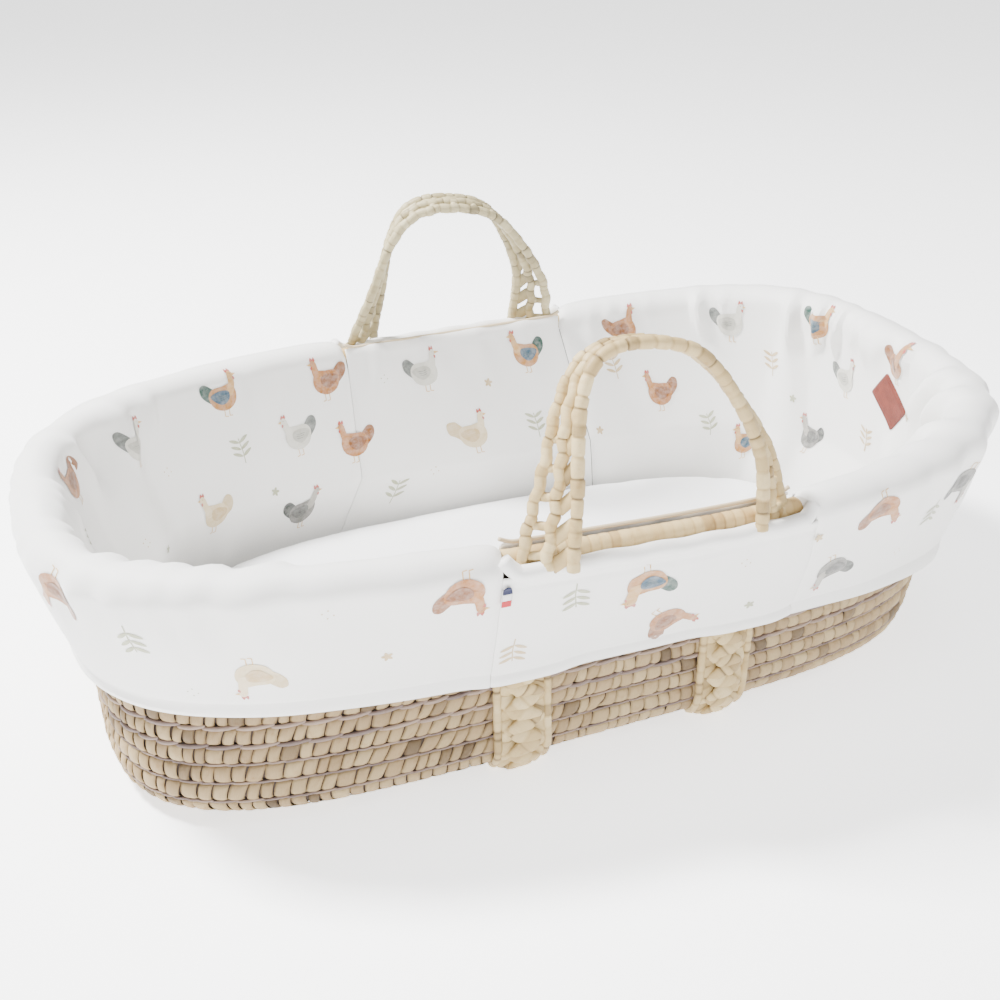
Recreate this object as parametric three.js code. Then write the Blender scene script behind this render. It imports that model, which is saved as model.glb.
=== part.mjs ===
// A Moses basket: a coiled palm-leaf basket with a padded cotton liner, a mattress and two braided carry handles.
// Millimetres, +Z up. X runs from the foot end (-X) to the head end (+X). The origin is under the middle of the
// basket, on the surface that the two carry straps rest on.
import * as THREE from "three";

// ---- driving dimensions -------------------------------------------------------------------------------------
const BASE_Z = 7; // underside of the coiled floor, just above the straps
const RIM_Z = 214.5; // level of the rim where the sides are lowest
const RIM_RISE_FOOT = -6; // how far the rim climbs at the foot end
const RIM_RISE_HEAD = 24; // and at the head end
const RIM_RISE_POWER = 2.5;
const FIT = 0.4; // clearance between pieces that touch

// The outer face of the wall at a few heights, from the floor (v = 0) to the rim (v = 1): half length, half width,
// squareness of the superellipse, widening towards the head, and shift along X.
const WALL_STATIONS = [
  { v: 0, a: 374, b: 187, n: 4, k: -0.05, dx: 0 },
  { v: 0.07, a: 381, b: 193, n: 4, k: -0.05, dx: 0 },
  { v: 0.43, a: 394, b: 192, n: 3.4, k: 0, dx: 12 },
  { v: 1, a: 400, b: 227, n: 3.1, k: 0.092, dx: 0 },
];

const COLUMNS_PER_QUARTER = 12;
const COURSES = 13;
const COURSE_THICKNESS = 9;
const FLOOR_THICKNESS = 10;

const ROD_RADIUS = 7.5;
const ROD_OFFSET = -3.5; // from the wall's outer face to the rod's centre
const ROD_LIFT = 2;
const COURSE_TOP_DROP = ROD_RADIUS - ROD_LIFT + 1; // the top course ends just below the rod

const ROLL_OFFSET = 2; // the liner's fold over the rim
const ROLL_RADIUS = 18;
const PADDING = 3.5;
const SKIRT_HEM_OFFSET = 11;
const SKIRT_THICKNESS = 3;
const HEM_Z = 97.4;
const HEM_RISE_FOOT = 11;
const HEM_RISE_HEAD = -19;
const LINER_FOOT_V = 0.052;
const LINER_BOTTOM_OFFSET = -9.5;
const LINER_BOTTOM_THICKNESS = 4;
const FOOT_END_DRAPE = 30; // how far the liner leans in at the foot end
const LINER_INSIDE_ROWS = [LINER_FOOT_V, 0.25, 0.43, 0.75]; // height fractions of the wall

const SLOT_FROM_X = -97; // the handle slots and the middle liner panels
const SLOT_TO_X = 147;
const LIP_DROP = 2; // from the rim to the top of a middle wall panel
const SKIRT_TOP = 0.93; // of the way from hem to rim, for a middle skirt panel
const PIPING_RADIUS = 4.5;
const PIPING_OUTSET = 1.5; // from the middle of the skirt to the piping's centre
const PIPING_END_GAP = 0.008; // radians

const STRAP_MID_X = 24;
const STRAP_HALF_SPACING = 93;
const STRAP_WIDTH = 48;
const STRAP_THICKNESS = 6.2;
const STRAP_TOP_Z = 209.5;
const STRAP_LEVELS = [STRAP_TOP_Z, 190, 165, 140, 115, 70, 45];
const STRAP_SPLAY = 3.6; // how far its top stands off the wall, to pass outside the rod
const STRAP_BEND_RADIUS = 1; // of its inner face, where it turns under the floor

const HANDLE_Y = 238; // the plane where a handle's feet stand on the straps
const PIVOT_Z = 229.5; // where a handle bends
const HANDLE_LEAN = 14.5; // degrees inwards
const HANDLE_RISE = 138; // from the pivot to the crown, along the leaning plane
const HANDLE_CROWN_X = 11;
const CORD_RADIUS = 4.5;
const CORD_SPREAD_FOOT = 18; // from the middle cord to the outer and inner ones
const CORD_SPREAD_CROWN = 10;
// How far the band has turned, in degrees, at each height above the pivot.
const TWIST = [
  { h: 0, degrees: 8 },
  { h: 12, degrees: 8 },
  { h: 27, degrees: 38 },
  { h: 86, degrees: 62 },
  { h: 138, degrees: 90 },
];

const MATTRESS = { a: 339, b: 169, n: 3, dx: 23 };
const MATTRESS_BOTTOM_Z = 21;
const MATTRESS_THICKNESS = 38;
const MATTRESS_CORNER = 8;
const COVER_THICKNESS = 2;
const FOAM_TOP_DROP = 3.5; // from the cover's top to the foam's
const LINER_FLOOR_THICKNESS = 1.6;
const LINER_FLOOR_INSET = 4; // inside the mattress's outline

const LABEL_LENGTH = 46;
const LABEL_WIDTH = 35;
const LABEL_Y = -32;
const LABEL_Z = 190;
const LABEL_TILT = 37; // degrees below the horizontal
const LABEL_THICKNESS = 1.6;
const LABEL_STAND_OFF = 1.4;

const TAG_WIDTH = 9;
const TAG_LENGTH = 26;
const TAG_TOP_Z = 206;
const TAG_X = -92;
const TAG_THICKNESS = 1;
const TAG_STAND_OFF = 0.6;

const COLOURS = {
  palm: { color: 0xc9ac86, roughness: 0.75 },
  straw: { color: 0xdccba0, roughness: 0.7 },
  cotton: { color: 0xf4f2ec, roughness: 0.85 },
  mattress: { color: 0xfbfbfa, roughness: 0.9 },
  leather: { color: 0xa84a3b, roughness: 0.55 },
  ribbon: { color: 0x27304f, roughness: 0.8 },
};

const basket = new THREE.Group();

// ---- mesh building ------------------------------------------------------------------------------------------
const radians = THREE.MathUtils.degToRad;
const lerp = THREE.MathUtils.lerp;

function addMesh(name, geometry, look) {
  const mesh = new THREE.Mesh(geometry, new THREE.MeshStandardMaterial({ metalness: 0, ...COLOURS[look] }));
  mesh.name = name;
  basket.add(mesh);
}

// Six times the volume that the triangles enclose; negative when their faces point inwards.
function signedVolume(points, triangles) {
  let sum = 0;
  for (const [i, j, k] of triangles) sum += points[i].dot(points[j].clone().cross(points[k]));
  return sum;
}

function solidFrom(points, triangles) {
  const facing = signedVolume(points, triangles) < 0 ? triangles.map(([i, j, k]) => [i, k, j]) : triangles;
  const geometry = new THREE.BufferGeometry().setFromPoints(points);
  geometry.setIndex(facing.flat());
  geometry.computeVertexNormals();
  return geometry;
}

// A sheet with thickness: outer(i, j) and inner(i, j) give its two faces on a grid of points.
function thickSheet(columns, rows, outer, inner, loop = false) {
  const points = [];
  for (const face of [outer, inner]) {
    for (let i = 0; i < columns; i++) {
      for (let j = 0; j < rows; j++) points.push(face(i, j));
    }
  }
  const at = (side, i, j) => side * columns * rows + (i % columns) * rows + j;
  const triangles = [];
  const quad = (a, b, c, d) => triangles.push([a, b, c], [a, c, d]);
  const span = loop ? columns : columns - 1;
  for (let i = 0; i < span; i++) {
    for (let j = 0; j < rows - 1; j++) {
      quad(at(0, i, j), at(0, i + 1, j), at(0, i + 1, j + 1), at(0, i, j + 1));
      quad(at(1, i, j), at(1, i, j + 1), at(1, i + 1, j + 1), at(1, i + 1, j));
    }
    quad(at(0, i, 0), at(1, i, 0), at(1, i + 1, 0), at(0, i + 1, 0));
    quad(at(0, i, rows - 1), at(0, i + 1, rows - 1), at(1, i + 1, rows - 1), at(1, i, rows - 1));
  }
  if (!loop) {
    for (let j = 0; j < rows - 1; j++) {
      quad(at(0, 0, j), at(0, 0, j + 1), at(1, 0, j + 1), at(1, 0, j));
      quad(at(0, columns - 1, j), at(1, columns - 1, j), at(1, columns - 1, j + 1), at(0, columns - 1, j + 1));
    }
  }
  return solidFrom(points, triangles);
}

// A round cord: section(i) gives its centre and two directions across it at each step.
function roundCord(steps, sides, radius, section, loop = false) {
  const points = [];
  for (let i = 0; i < steps; i++) {
    const { centre, across, up } = section(i);
    for (let j = 0; j < sides; j++) {
      const turn = (2 * Math.PI * j) / sides;
      points.push(
        centre
          .clone()
          .addScaledVector(across, radius * Math.cos(turn))
          .addScaledVector(up, radius * Math.sin(turn)),
      );
    }
  }
  const at = (i, j) => (i % steps) * sides + (j % sides);
  const triangles = [];
  for (let i = 0; i < (loop ? steps : steps - 1); i++) {
    for (let j = 0; j < sides; j++) {
      triangles.push([at(i, j), at(i + 1, j), at(i + 1, j + 1)], [at(i, j), at(i + 1, j + 1), at(i, j + 1)]);
    }
  }
  if (!loop) {
    for (let j = 1; j < sides - 1; j++) {
      triangles.push([at(0, 0), at(0, j), at(0, j + 1)], [at(steps - 1, 0), at(steps - 1, j + 1), at(steps - 1, j)]);
    }
  }
  return solidFrom(points, triangles);
}

// ---- the basket's outline -----------------------------------------------------------------------------------
// The wall's shape at height fraction v.
function station(v) {
  const last = WALL_STATIONS.length - 1;
  let i = 0;
  while (i < last - 1 && v > WALL_STATIONS[i + 1].v) i++;
  const low = WALL_STATIONS[i];
  const high = WALL_STATIONS[i + 1];
  const f = (v - low.v) / (high.v - low.v);
  return Object.fromEntries(["a", "b", "n", "k", "dx"].map((key) => [key, lerp(low[key], high[key], f)]));
}

const signedPower = (value, power) => Math.sign(value) * Math.abs(value) ** power;
const rise = (u, foot, head) => (u < 0 ? foot : head) * Math.abs(u) ** RIM_RISE_POWER;
const rimZ = (u) => RIM_Z + rise(u, RIM_RISE_FOOT, RIM_RISE_HEAD);
const hemZ = (u) => HEM_Z + rise(u, HEM_RISE_FOOT, HEM_RISE_HEAD);
const alongX = (t, n) => signedPower(Math.cos(t), 2 / n);

// A point on the outline at angle t, moved outwards by offset; its Z is left to the caller.
function outline(t, { a, b, n, k, dx }, offset, z) {
  const u = alongX(t, n);
  const y = (b + offset) * signedPower(Math.sin(t), 2 / n) * (1 + k * u);
  return new THREE.Vector3((a + offset) * u + dx, y, z);
}

// A point beside the wall at angle t and height z.
function wallPoint(t, z, offset) {
  const u = alongX(t, station(1).n);
  const v = (z - BASE_Z) / (rimZ(u) - BASE_Z);
  return outline(t, station(v), offset, z);
}

// The same, above the rim, where the wall's shape stays that of the rim.
function rimPoint(t, lift, offset) {
  const u = alongX(t, station(1).n);
  return outline(t, station(1), offset, rimZ(u) + lift);
}

// The wall's Y at a given X on the +Y side.
function sideY(x, z, offset) {
  const u = x / station(1).a;
  const { a, b, n, k, dx } = station(Math.min(1, (z - BASE_Z) / (rimZ(u) - BASE_Z)));
  const w = (x - dx) / (a + offset);
  return (b + offset) * (1 - Math.abs(w) ** n) ** (1 / n) * (1 + k * w);
}

// Angles evenly spaced along the rim, the same in each quarter.
function evenAngles() {
  const fine = 400;
  const shape = { ...station(1), k: 0 };
  const lengths = [0];
  let previous = outline(0, shape, 0, 0);
  for (let i = 1; i <= fine; i++) {
    const next = outline((Math.PI / 2) * (i / fine), shape, 0, 0);
    lengths.push(lengths[i - 1] + next.distanceTo(previous));
    previous = next;
  }
  const quarter = [];
  for (let i = 0; i < COLUMNS_PER_QUARTER; i++) {
    const target = (lengths[fine] * i) / COLUMNS_PER_QUARTER;
    const j = lengths.findIndex((length) => length >= target);
    const f = j === 0 ? 0 : (target - lengths[j - 1]) / (lengths[j] - lengths[j - 1]);
    quarter.push((Math.PI / 2) * ((Math.max(j, 1) - 1 + f) / fine));
  }
  const mirrored = quarter.slice(1).map((t) => Math.PI - t);
  const half = [...quarter, Math.PI / 2, ...mirrored.reverse()];
  return [...half, ...half.map((t) => t + Math.PI)];
}

const ANGLES = evenAngles();
const TAU = 2 * Math.PI;

// The angle on the +Y side where the rim has a given X.
function angleAt(x) {
  const { a, n } = station(1);
  return Math.acos(signedPower(x / a, n / 2));
}

// The even angles between two ends, with the ends.
function anglesBetween(from, to) {
  const margin = 0.02;
  const inside = [...ANGLES.map((t) => t - TAU), ...ANGLES, ...ANGLES.map((t) => t + TAU)];
  return [from, ...inside.filter((t) => t > from + margin && t < to - margin), to];
}

// ---- palm basket --------------------------------------------------------------------------------------------
function addFloor() {
  const shape = station(0);
  const offset = -COURSE_THICKNESS - FIT;
  const ring = (t, z) => outline(t, shape, offset, z);
  const core = (t, z) => outline(t, shape, offset, z).multiply(new THREE.Vector3(0.5, 0.5, 1));
  addMesh("base_mat", coiledPlate(ring, core, BASE_Z, BASE_Z + FLOOR_THICKNESS), "palm");
}

// A flat plate with its faces fanned from an inner ring to the rim, and closed at the middle.
function coiledPlate(ring, core, bottom, top) {
  const count = ANGLES.length;
  const points = [];
  for (const z of [bottom, top]) {
    ANGLES.forEach((t) => points.push(ring(t, z)));
    ANGLES.forEach((t) => points.push(core(t, z)));
    points.push(new THREE.Vector3(0, 0, z));
  }
  const layer = 2 * count + 1;
  const triangles = [];
  for (let i = 0; i < count; i++) {
    const j = (i + 1) % count;
    for (const [base, flip] of [
      [0, true],
      [layer, false],
    ]) {
      const faces = [
        [base + i, base + j, base + count + j],
        [base + i, base + count + j, base + count + i],
        [base + count + i, base + count + j, base + 2 * count],
      ];
      faces.forEach(([p, q, r]) => triangles.push(flip ? [p, r, q] : [p, q, r]));
    }
    triangles.push([i, j, layer + j], [i, layer + j, layer + i]);
  }
  return solidFrom(points, triangles);
}

// One coil of the wall, between two height fractions of the coiled part.
function addCourse(index) {
  const topZ = (u) => rimZ(u) - COURSE_TOP_DROP;
  const level = (u, row) => lerp(BASE_Z, topZ(u), row / COURSES);
  const z = (t, j) => {
    const u = alongX(t, station(1).n);
    return level(u, index + j) - (j === 1 ? FIT : 0);
  };
  const face = (offset) => (i, j) => wallPoint(ANGLES[i], z(ANGLES[i], j), offset);
  const name = `wall_course_${String(index + 1).padStart(2, "0")}`;
  addMesh(name, thickSheet(ANGLES.length, 2, face(0), face(-COURSE_THICKNESS), true), "palm");
}

function addRimRod() {
  const section = (i) => {
    const inner = rimPoint(ANGLES[i], ROD_LIFT, ROD_OFFSET - 1);
    const outer = rimPoint(ANGLES[i], ROD_LIFT, ROD_OFFSET + 1);
    const across = outer.clone().sub(inner).normalize();
    return { centre: rimPoint(ANGLES[i], ROD_LIFT, ROD_OFFSET), across, up: new THREE.Vector3(0, 0, 1) };
  };
  addMesh("rim_rod", roundCord(ANGLES.length, 8, ROD_RADIUS, section, true), "straw");
}

// ---- carry straps -------------------------------------------------------------------------------------------
// One strap runs down the front wall, under the floor and up the back wall.
function addStrap(name, midX) {
  const columns = [-0.5, 0, 0.5].map((f) => midX + f * STRAP_WIDTH);
  const bendsOfWall = WALL_STATIONS.slice(1, -1).map(({ v }) => lerp(BASE_Z, RIM_Z, v));
  const levels = [...STRAP_LEVELS, ...bendsOfWall].sort((p, q) => q - p);
  const bends = [0, 45, 90];
  const sidePoint = (side, x, z, depth) => {
    const lift = STRAP_SPLAY * Math.max(0, (z - HEM_Z) / (STRAP_TOP_Z - HEM_Z)) ** 2;
    return new THREE.Vector3(x, side * sideY(x, z, 2 * FIT + lift + depth), z);
  };
  const bendPoint = (side, x, degrees, depth) => {
    const radius = STRAP_BEND_RADIUS + depth;
    const y = sideY(x, BASE_Z, FIT) + radius * Math.cos(radians(degrees));
    const z = STRAP_THICKNESS + STRAP_BEND_RADIUS - radius * Math.sin(radians(degrees));
    return new THREE.Vector3(x, side * y, z);
  };
  const route = (depth) => {
    const front = levels.map((z) => (x) => sidePoint(-1, x, z, depth));
    const back = levels.map((z) => (x) => sidePoint(1, x, z, depth)).reverse();
    const under = [
      ...bends.map((degrees) => (x) => bendPoint(-1, x, degrees, depth)),
      ...bends.map((degrees) => (x) => bendPoint(1, x, degrees, depth)).reverse(),
    ];
    return [...front, ...under, ...back];
  };
  const outer = route(STRAP_THICKNESS);
  const inner = route(0);
  const geometry = thickSheet(
    columns.length,
    outer.length,
    (i, j) => outer[j](columns[i]),
    (i, j) => inner[j](columns[i]),
  );
  addMesh(name, geometry, "straw");
}

// ---- handles ------------------------------------------------------------------------------------------------
// The band's middle line in its own leaning plane: x along the basket and h up the plane from the pivot.
function handleArch() {
  const left = STRAP_MID_X - STRAP_HALF_SPACING;
  const right = STRAP_MID_X + STRAP_HALF_SPACING;
  return new THREE.CatmullRomCurve3(
    [
      new THREE.Vector3(left, 0, 0),
      new THREE.Vector3(left + 13, 0, 0.3 * HANDLE_RISE),
      new THREE.Vector3(left + 27, 0, 0.73 * HANDLE_RISE),
      new THREE.Vector3(left + 46, 0, 0.95 * HANDLE_RISE),
      new THREE.Vector3(HANDLE_CROWN_X, 0, HANDLE_RISE),
      new THREE.Vector3(right - 61, 0, 0.9 * HANDLE_RISE),
      new THREE.Vector3(right - 29, 0, 0.64 * HANDLE_RISE),
      new THREE.Vector3(right - 5, 0, 0.3 * HANDLE_RISE),
      new THREE.Vector3(right, 0, 0),
    ],
    false,
    "centripetal",
  );
}

function twistAt(h) {
  const above = TWIST.findIndex((stop) => stop.h >= h);
  if (above < 0) return TWIST[TWIST.length - 1].degrees;
  if (above === 0) return TWIST[0].degrees;
  const [low, high] = [TWIST[above - 1], TWIST[above]];
  return lerp(low.degrees, high.degrees, (h - low.h) / (high.h - low.h));
}

// A handle is three cords side by side in a band that turns through a quarter from its feet to its crown.
function addHandle(name, side) {
  const steps = 25;
  const arch = handleArch();
  const lean = radians(HANDLE_LEAN);
  const frameAt = (s) => {
    const flat = arch.getPointAt(s);
    const along = arch.getTangentAt(s);
    const height = Math.min(1, Math.max(0, flat.z / HANDLE_RISE));
    const twist = radians(twistAt(flat.z));
    const way = s < 0.5 ? 1 : -1;
    const width = new THREE.Vector3(way * Math.cos(twist), side * Math.sin(twist), 0);
    width.addScaledVector(along, -width.dot(along)).normalize();
    const spread = lerp(CORD_SPREAD_FOOT, CORD_SPREAD_CROWN, Math.min(1, 1.6 * height));
    return { flat, along, width, spread };
  };
  const place = (point) => {
    const y = point.y * Math.cos(lean) - side * point.z * Math.sin(lean);
    const z = side * point.y * Math.sin(lean) + point.z * Math.cos(lean);
    return new THREE.Vector3(point.x, side * HANDLE_Y + y, PIVOT_Z + z);
  };
  ["outer", "middle", "inner"].forEach((cord, index) => {
    const section = (i) => {
      const { flat, along, width, spread } = frameAt(i / (steps - 1));
      const local = flat.clone().addScaledVector(width, spread * (index - 1));
      const up = along.clone().cross(width).normalize();
      const origin = place(new THREE.Vector3());
      return {
        centre: place(local),
        across: place(width).sub(origin),
        up: place(up).sub(origin),
      };
    };
    addMesh(`handle_${name}_${cord}_cord`, roundCord(steps, 8, CORD_RADIUS, section), "straw");
  });
}

// ---- liner --------------------------------------------------------------------------------------------------
// Rows of an end panel from its lower edge inside, up, over the rim and down to the hem outside. face is 1 for the
// fabric's showing face and 0 for the face against the basket.
function linerRows() {
  const arc = [180, 150, 120, 90, 60, 30, 0];
  const drape = (u, v) => FOOT_END_DRAPE * Math.max(0, -u) ** 3 * (1 - v);
  const inside = LINER_INSIDE_ROWS.map((v) => (t, face) => {
    const u = alongX(t, station(1).n);
    const hidden = lerp(LINER_BOTTOM_OFFSET, ROLL_OFFSET - ROLL_RADIUS + PADDING, v);
    const showing = lerp(LINER_BOTTOM_OFFSET - LINER_BOTTOM_THICKNESS, ROLL_OFFSET - ROLL_RADIUS, v);
    return wallPoint(t, lerp(BASE_Z, rimZ(u), v), (face ? showing : hidden) - drape(u, v));
  });
  const over = arc.map((degrees) => (t, face) => {
    const radius = ROLL_RADIUS - (face ? 0 : PADDING);
    return rimPoint(t, radius * Math.sin(radians(degrees)), ROLL_OFFSET + radius * Math.cos(radians(degrees)));
  });
  const outside = [0.5, 0].map((f) => (t, face) => skirtPoint(t, f, face));
  return { inside, over, outside };
}

// A point on the skirt: f runs from 0 at the hem to 1 at the rim.
function skirtPoint(t, f, face) {
  const u = alongX(t, station(1).n);
  const z = lerp(hemZ(u), rimZ(u), f);
  const top = ROLL_OFFSET + ROLL_RADIUS;
  const showing = lerp(SKIRT_HEM_OFFSET, top, f);
  const hidden = lerp(SKIRT_HEM_OFFSET - SKIRT_THICKNESS, top - PADDING, f);
  return wallPoint(t, z, face ? showing : hidden);
}

function addPanel(name, from, to, rows) {
  const angles = anglesBetween(from, to);
  const geometry = thickSheet(
    angles.length,
    rows.length,
    (i, j) => rows[j](angles[i], 1),
    (i, j) => rows[j](angles[i], 0),
  );
  addMesh(name, geometry, "cotton");
}

function addLiner() {
  const { inside, over, outside } = linerRows();
  const footAngle = angleAt(SLOT_FROM_X - FIT / 2);
  const headAngle = angleAt(SLOT_TO_X + FIT / 2);
  const middle = [angleAt(SLOT_TO_X - FIT / 2), angleAt(SLOT_FROM_X + FIT / 2)];
  const whole = [...inside, ...over, ...outside];
  addPanel("liner_foot_end", footAngle, TAU - footAngle, whole);
  addPanel("liner_head_end", -headAngle, headAngle, whole);
  const lip = (t, face) => rimPoint(t, -LIP_DROP, ROLL_OFFSET - ROLL_RADIUS + (face ? 0 : PADDING));
  const skirtTop = (t, face) => skirtPoint(t, SKIRT_TOP, face);
  for (const [side, from, to] of [
    ["back", middle[0], middle[1]],
    ["front", TAU - middle[1], TAU - middle[0]],
  ]) {
    addPanel(`liner_${side}_wall`, from, to, [...inside, lip]);
    addPanel(`liner_${side}_skirt`, from, to, [skirtTop, ...outside]);
    addPiping(`slot_piping_${side}`, from, to);
  }
}

// The rolled edge along the top of a middle skirt panel.
function addPiping(name, from, to) {
  const angles = anglesBetween(from + PIPING_END_GAP, to - PIPING_END_GAP);
  const lift = PIPING_RADIUS + FIT;
  const section = (i) => {
    const t = angles[i];
    const outer = skirtPoint(t, SKIRT_TOP, 1);
    const inner = skirtPoint(t, SKIRT_TOP, 0);
    const across = outer.clone().sub(inner).setZ(0).normalize();
    const centre = outer.clone().add(inner).multiplyScalar(0.5);
    centre.z += lift;
    return { centre: centre.addScaledVector(across, PIPING_OUTSET), across, up: new THREE.Vector3(0, 0, 1) };
  };
  addMesh(name, roundCord(angles.length, 6, PIPING_RADIUS, section), "cotton");
}

function addLinerFloor() {
  const bottom = BASE_Z + FLOOR_THICKNESS + FIT;
  const shape = { ...MATTRESS, k: 0 };
  const ring = (t, z) => outline(t, shape, -LINER_FLOOR_INSET, z);
  const core = (t, z) => outline(t, { ...shape, a: shape.a / 2, b: shape.b / 2 }, 0, z);
  addMesh("liner_floor", coiledPlate(ring, core, bottom, bottom + LINER_FLOOR_THICKNESS), "cotton");
}

// ---- mattress -----------------------------------------------------------------------------------------------
function addMattress() {
  const shape = { ...MATTRESS, k: 0 };
  const topZ = MATTRESS_BOTTOM_Z + MATTRESS_THICKNESS;
  const coreOffset = -COVER_THICKNESS - FIT;
  const corner = MATTRESS_CORNER;
  const core = (t, z) => outline(t, { ...shape, a: shape.a / 2, b: shape.b / 2 }, 0, z);
  const edge = (t, z) => outline(t, shape, coreOffset, z);
  const foam = coiledPlate(edge, core, MATTRESS_BOTTOM_Z, topZ - FOAM_TOP_DROP);
  addMesh("mattress_core", foam, "mattress");
  // The cover is a cap over the foam: a rounded top and sides, open underneath.
  const rows = [
    (t, s) => outline(t, shape, -s, MATTRESS_BOTTOM_Z),
    (t, s) => outline(t, shape, -s, topZ - corner),
    (t, s) => outline(t, shape, s === 0 ? -corner * 0.3 : -COVER_THICKNESS, topZ - (s === 0 ? corner * 0.3 : 3)),
    (t, s) => outline(t, shape, -corner, topZ - s),
  ];
  addMesh("mattress_cover", capShell(rows, COVER_THICKNESS, topZ, shape), "mattress");
}

// A cap: side rows on both faces, each closed at the top by a fan to the middle.
function capShell(rows, thickness, topZ, shape) {
  const count = ANGLES.length;
  const points = [];
  const layerSize = rows.length * count + 1;
  for (const s of [0, thickness]) {
    for (const row of rows) ANGLES.forEach((t) => points.push(row(t, s)));
    points.push(new THREE.Vector3(shape.dx, 0, topZ - s));
  }
  const triangles = [];
  const at = (layer, row, i) => layer * layerSize + row * count + (i % count);
  const push = (layer, p, q, r) => triangles.push(layer === 0 ? [p, q, r] : [p, r, q]);
  for (const layer of [0, 1]) {
    for (let i = 0; i < count; i++) {
      for (let row = 0; row < rows.length - 1; row++) {
        push(layer, at(layer, row, i), at(layer, row, i + 1), at(layer, row + 1, i + 1));
        push(layer, at(layer, row, i), at(layer, row + 1, i + 1), at(layer, row + 1, i));
      }
      const top = rows.length - 1;
      push(layer, at(layer, top, i), at(layer, top, i + 1), layer * layerSize + layerSize - 1);
    }
  }
  for (let i = 0; i < count; i++) {
    triangles.push([at(0, 0, i), at(1, 0, i + 1), at(0, 0, i + 1)], [at(0, 0, i), at(1, 0, i), at(1, 0, i + 1)]);
  }
  return solidFrom(points, triangles);
}

// ---- trims --------------------------------------------------------------------------------------------------
// The showing face of the liner at the head end, at a given Y and height.
function headEndX(y, z) {
  const v = (z - BASE_Z) / (rimZ(1) - BASE_Z);
  const { a, b, n, k, dx } = station(v);
  const offset = lerp(LINER_BOTTOM_OFFSET - LINER_BOTTOM_THICKNESS, ROLL_OFFSET - ROLL_RADIUS, v);
  const w = Math.abs(y) / ((b + offset) * (1 + k));
  return (a + offset) * (1 - w ** n) ** (1 / n) + dx;
}

function addLabel() {
  const cells = 4;
  const tilt = radians(LABEL_TILT);
  const point = (i, j, depth) => {
    const p = (i / (cells - 1) - 0.5) * LABEL_LENGTH;
    const q = (j / (cells - 1) - 0.5) * LABEL_WIDTH;
    const y = LABEL_Y + p * Math.cos(tilt) - q * Math.sin(tilt);
    const z = LABEL_Z + p * Math.sin(tilt) + q * Math.cos(tilt);
    return new THREE.Vector3(headEndX(y, z) - LABEL_STAND_OFF - depth, y, z);
  };
  const geometry = thickSheet(
    cells,
    cells,
    (i, j) => point(i, j, LABEL_THICKNESS),
    (i, j) => point(i, j, 0),
  );
  addMesh("leather_label", geometry, "leather");
}

function addTag() {
  const rows = 4;
  const t = TAU - angleAt(TAG_X);
  const uAt = alongX(t, station(1).n);
  const point = (i, j, depth) => {
    const z = TAG_TOP_Z - (TAG_LENGTH * j) / (rows - 1);
    const f = (z - hemZ(uAt)) / (rimZ(uAt) - hemZ(uAt));
    const top = ROLL_OFFSET + ROLL_RADIUS;
    const x = TAG_X + (i - 0.5) * TAG_WIDTH;
    const offset = lerp(SKIRT_HEM_OFFSET, top, f) + TAG_STAND_OFF + depth;
    return new THREE.Vector3(x, -sideY(x, z, offset), z);
  };
  const geometry = thickSheet(
    2,
    rows,
    (i, j) => point(i, j, TAG_THICKNESS),
    (i, j) => point(i, j, 0),
  );
  addMesh("seam_tag", geometry, "ribbon");
}

// ---- assembly -----------------------------------------------------------------------------------------------
addFloor();
for (let index = 0; index < COURSES; index++) addCourse(index);
addRimRod();
addStrap("carry_strap_foot", STRAP_MID_X - STRAP_HALF_SPACING);
addStrap("carry_strap_head", STRAP_MID_X + STRAP_HALF_SPACING);
addHandle("front", -1);
addHandle("back", 1);
addLiner();
addLinerFloor();
addMattress();
addLabel();
addTag();

export default basket;
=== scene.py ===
import math
import random

import bmesh
import bpy
import numpy as np
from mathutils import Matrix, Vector, noise


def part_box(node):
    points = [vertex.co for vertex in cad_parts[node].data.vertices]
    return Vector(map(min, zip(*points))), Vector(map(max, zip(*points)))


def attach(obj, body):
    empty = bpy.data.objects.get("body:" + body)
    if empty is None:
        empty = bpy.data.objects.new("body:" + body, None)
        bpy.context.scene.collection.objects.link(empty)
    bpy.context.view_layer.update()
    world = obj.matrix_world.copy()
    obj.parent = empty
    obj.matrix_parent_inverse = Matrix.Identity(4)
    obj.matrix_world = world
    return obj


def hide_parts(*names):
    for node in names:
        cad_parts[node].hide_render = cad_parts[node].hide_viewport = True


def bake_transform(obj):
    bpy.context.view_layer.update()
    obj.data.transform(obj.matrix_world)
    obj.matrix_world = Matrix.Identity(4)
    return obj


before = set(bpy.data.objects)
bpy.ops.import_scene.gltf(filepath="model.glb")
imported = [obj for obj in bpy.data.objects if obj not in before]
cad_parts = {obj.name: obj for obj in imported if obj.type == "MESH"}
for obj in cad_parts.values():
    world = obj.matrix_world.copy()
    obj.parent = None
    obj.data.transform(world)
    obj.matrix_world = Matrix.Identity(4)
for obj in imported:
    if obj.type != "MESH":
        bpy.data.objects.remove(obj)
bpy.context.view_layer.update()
TAU = 2 * math.pi

# ---- driving dimensions: the wall's outline, as in the CAD model -----------------------------------------------
BASE_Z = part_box("wall_course_01")[0].z
RIM_Z = 0.2145
RIM_RISE_FOOT = -0.006
RIM_RISE_HEAD = 0.024
RISE_POWER = 2.5
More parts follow.
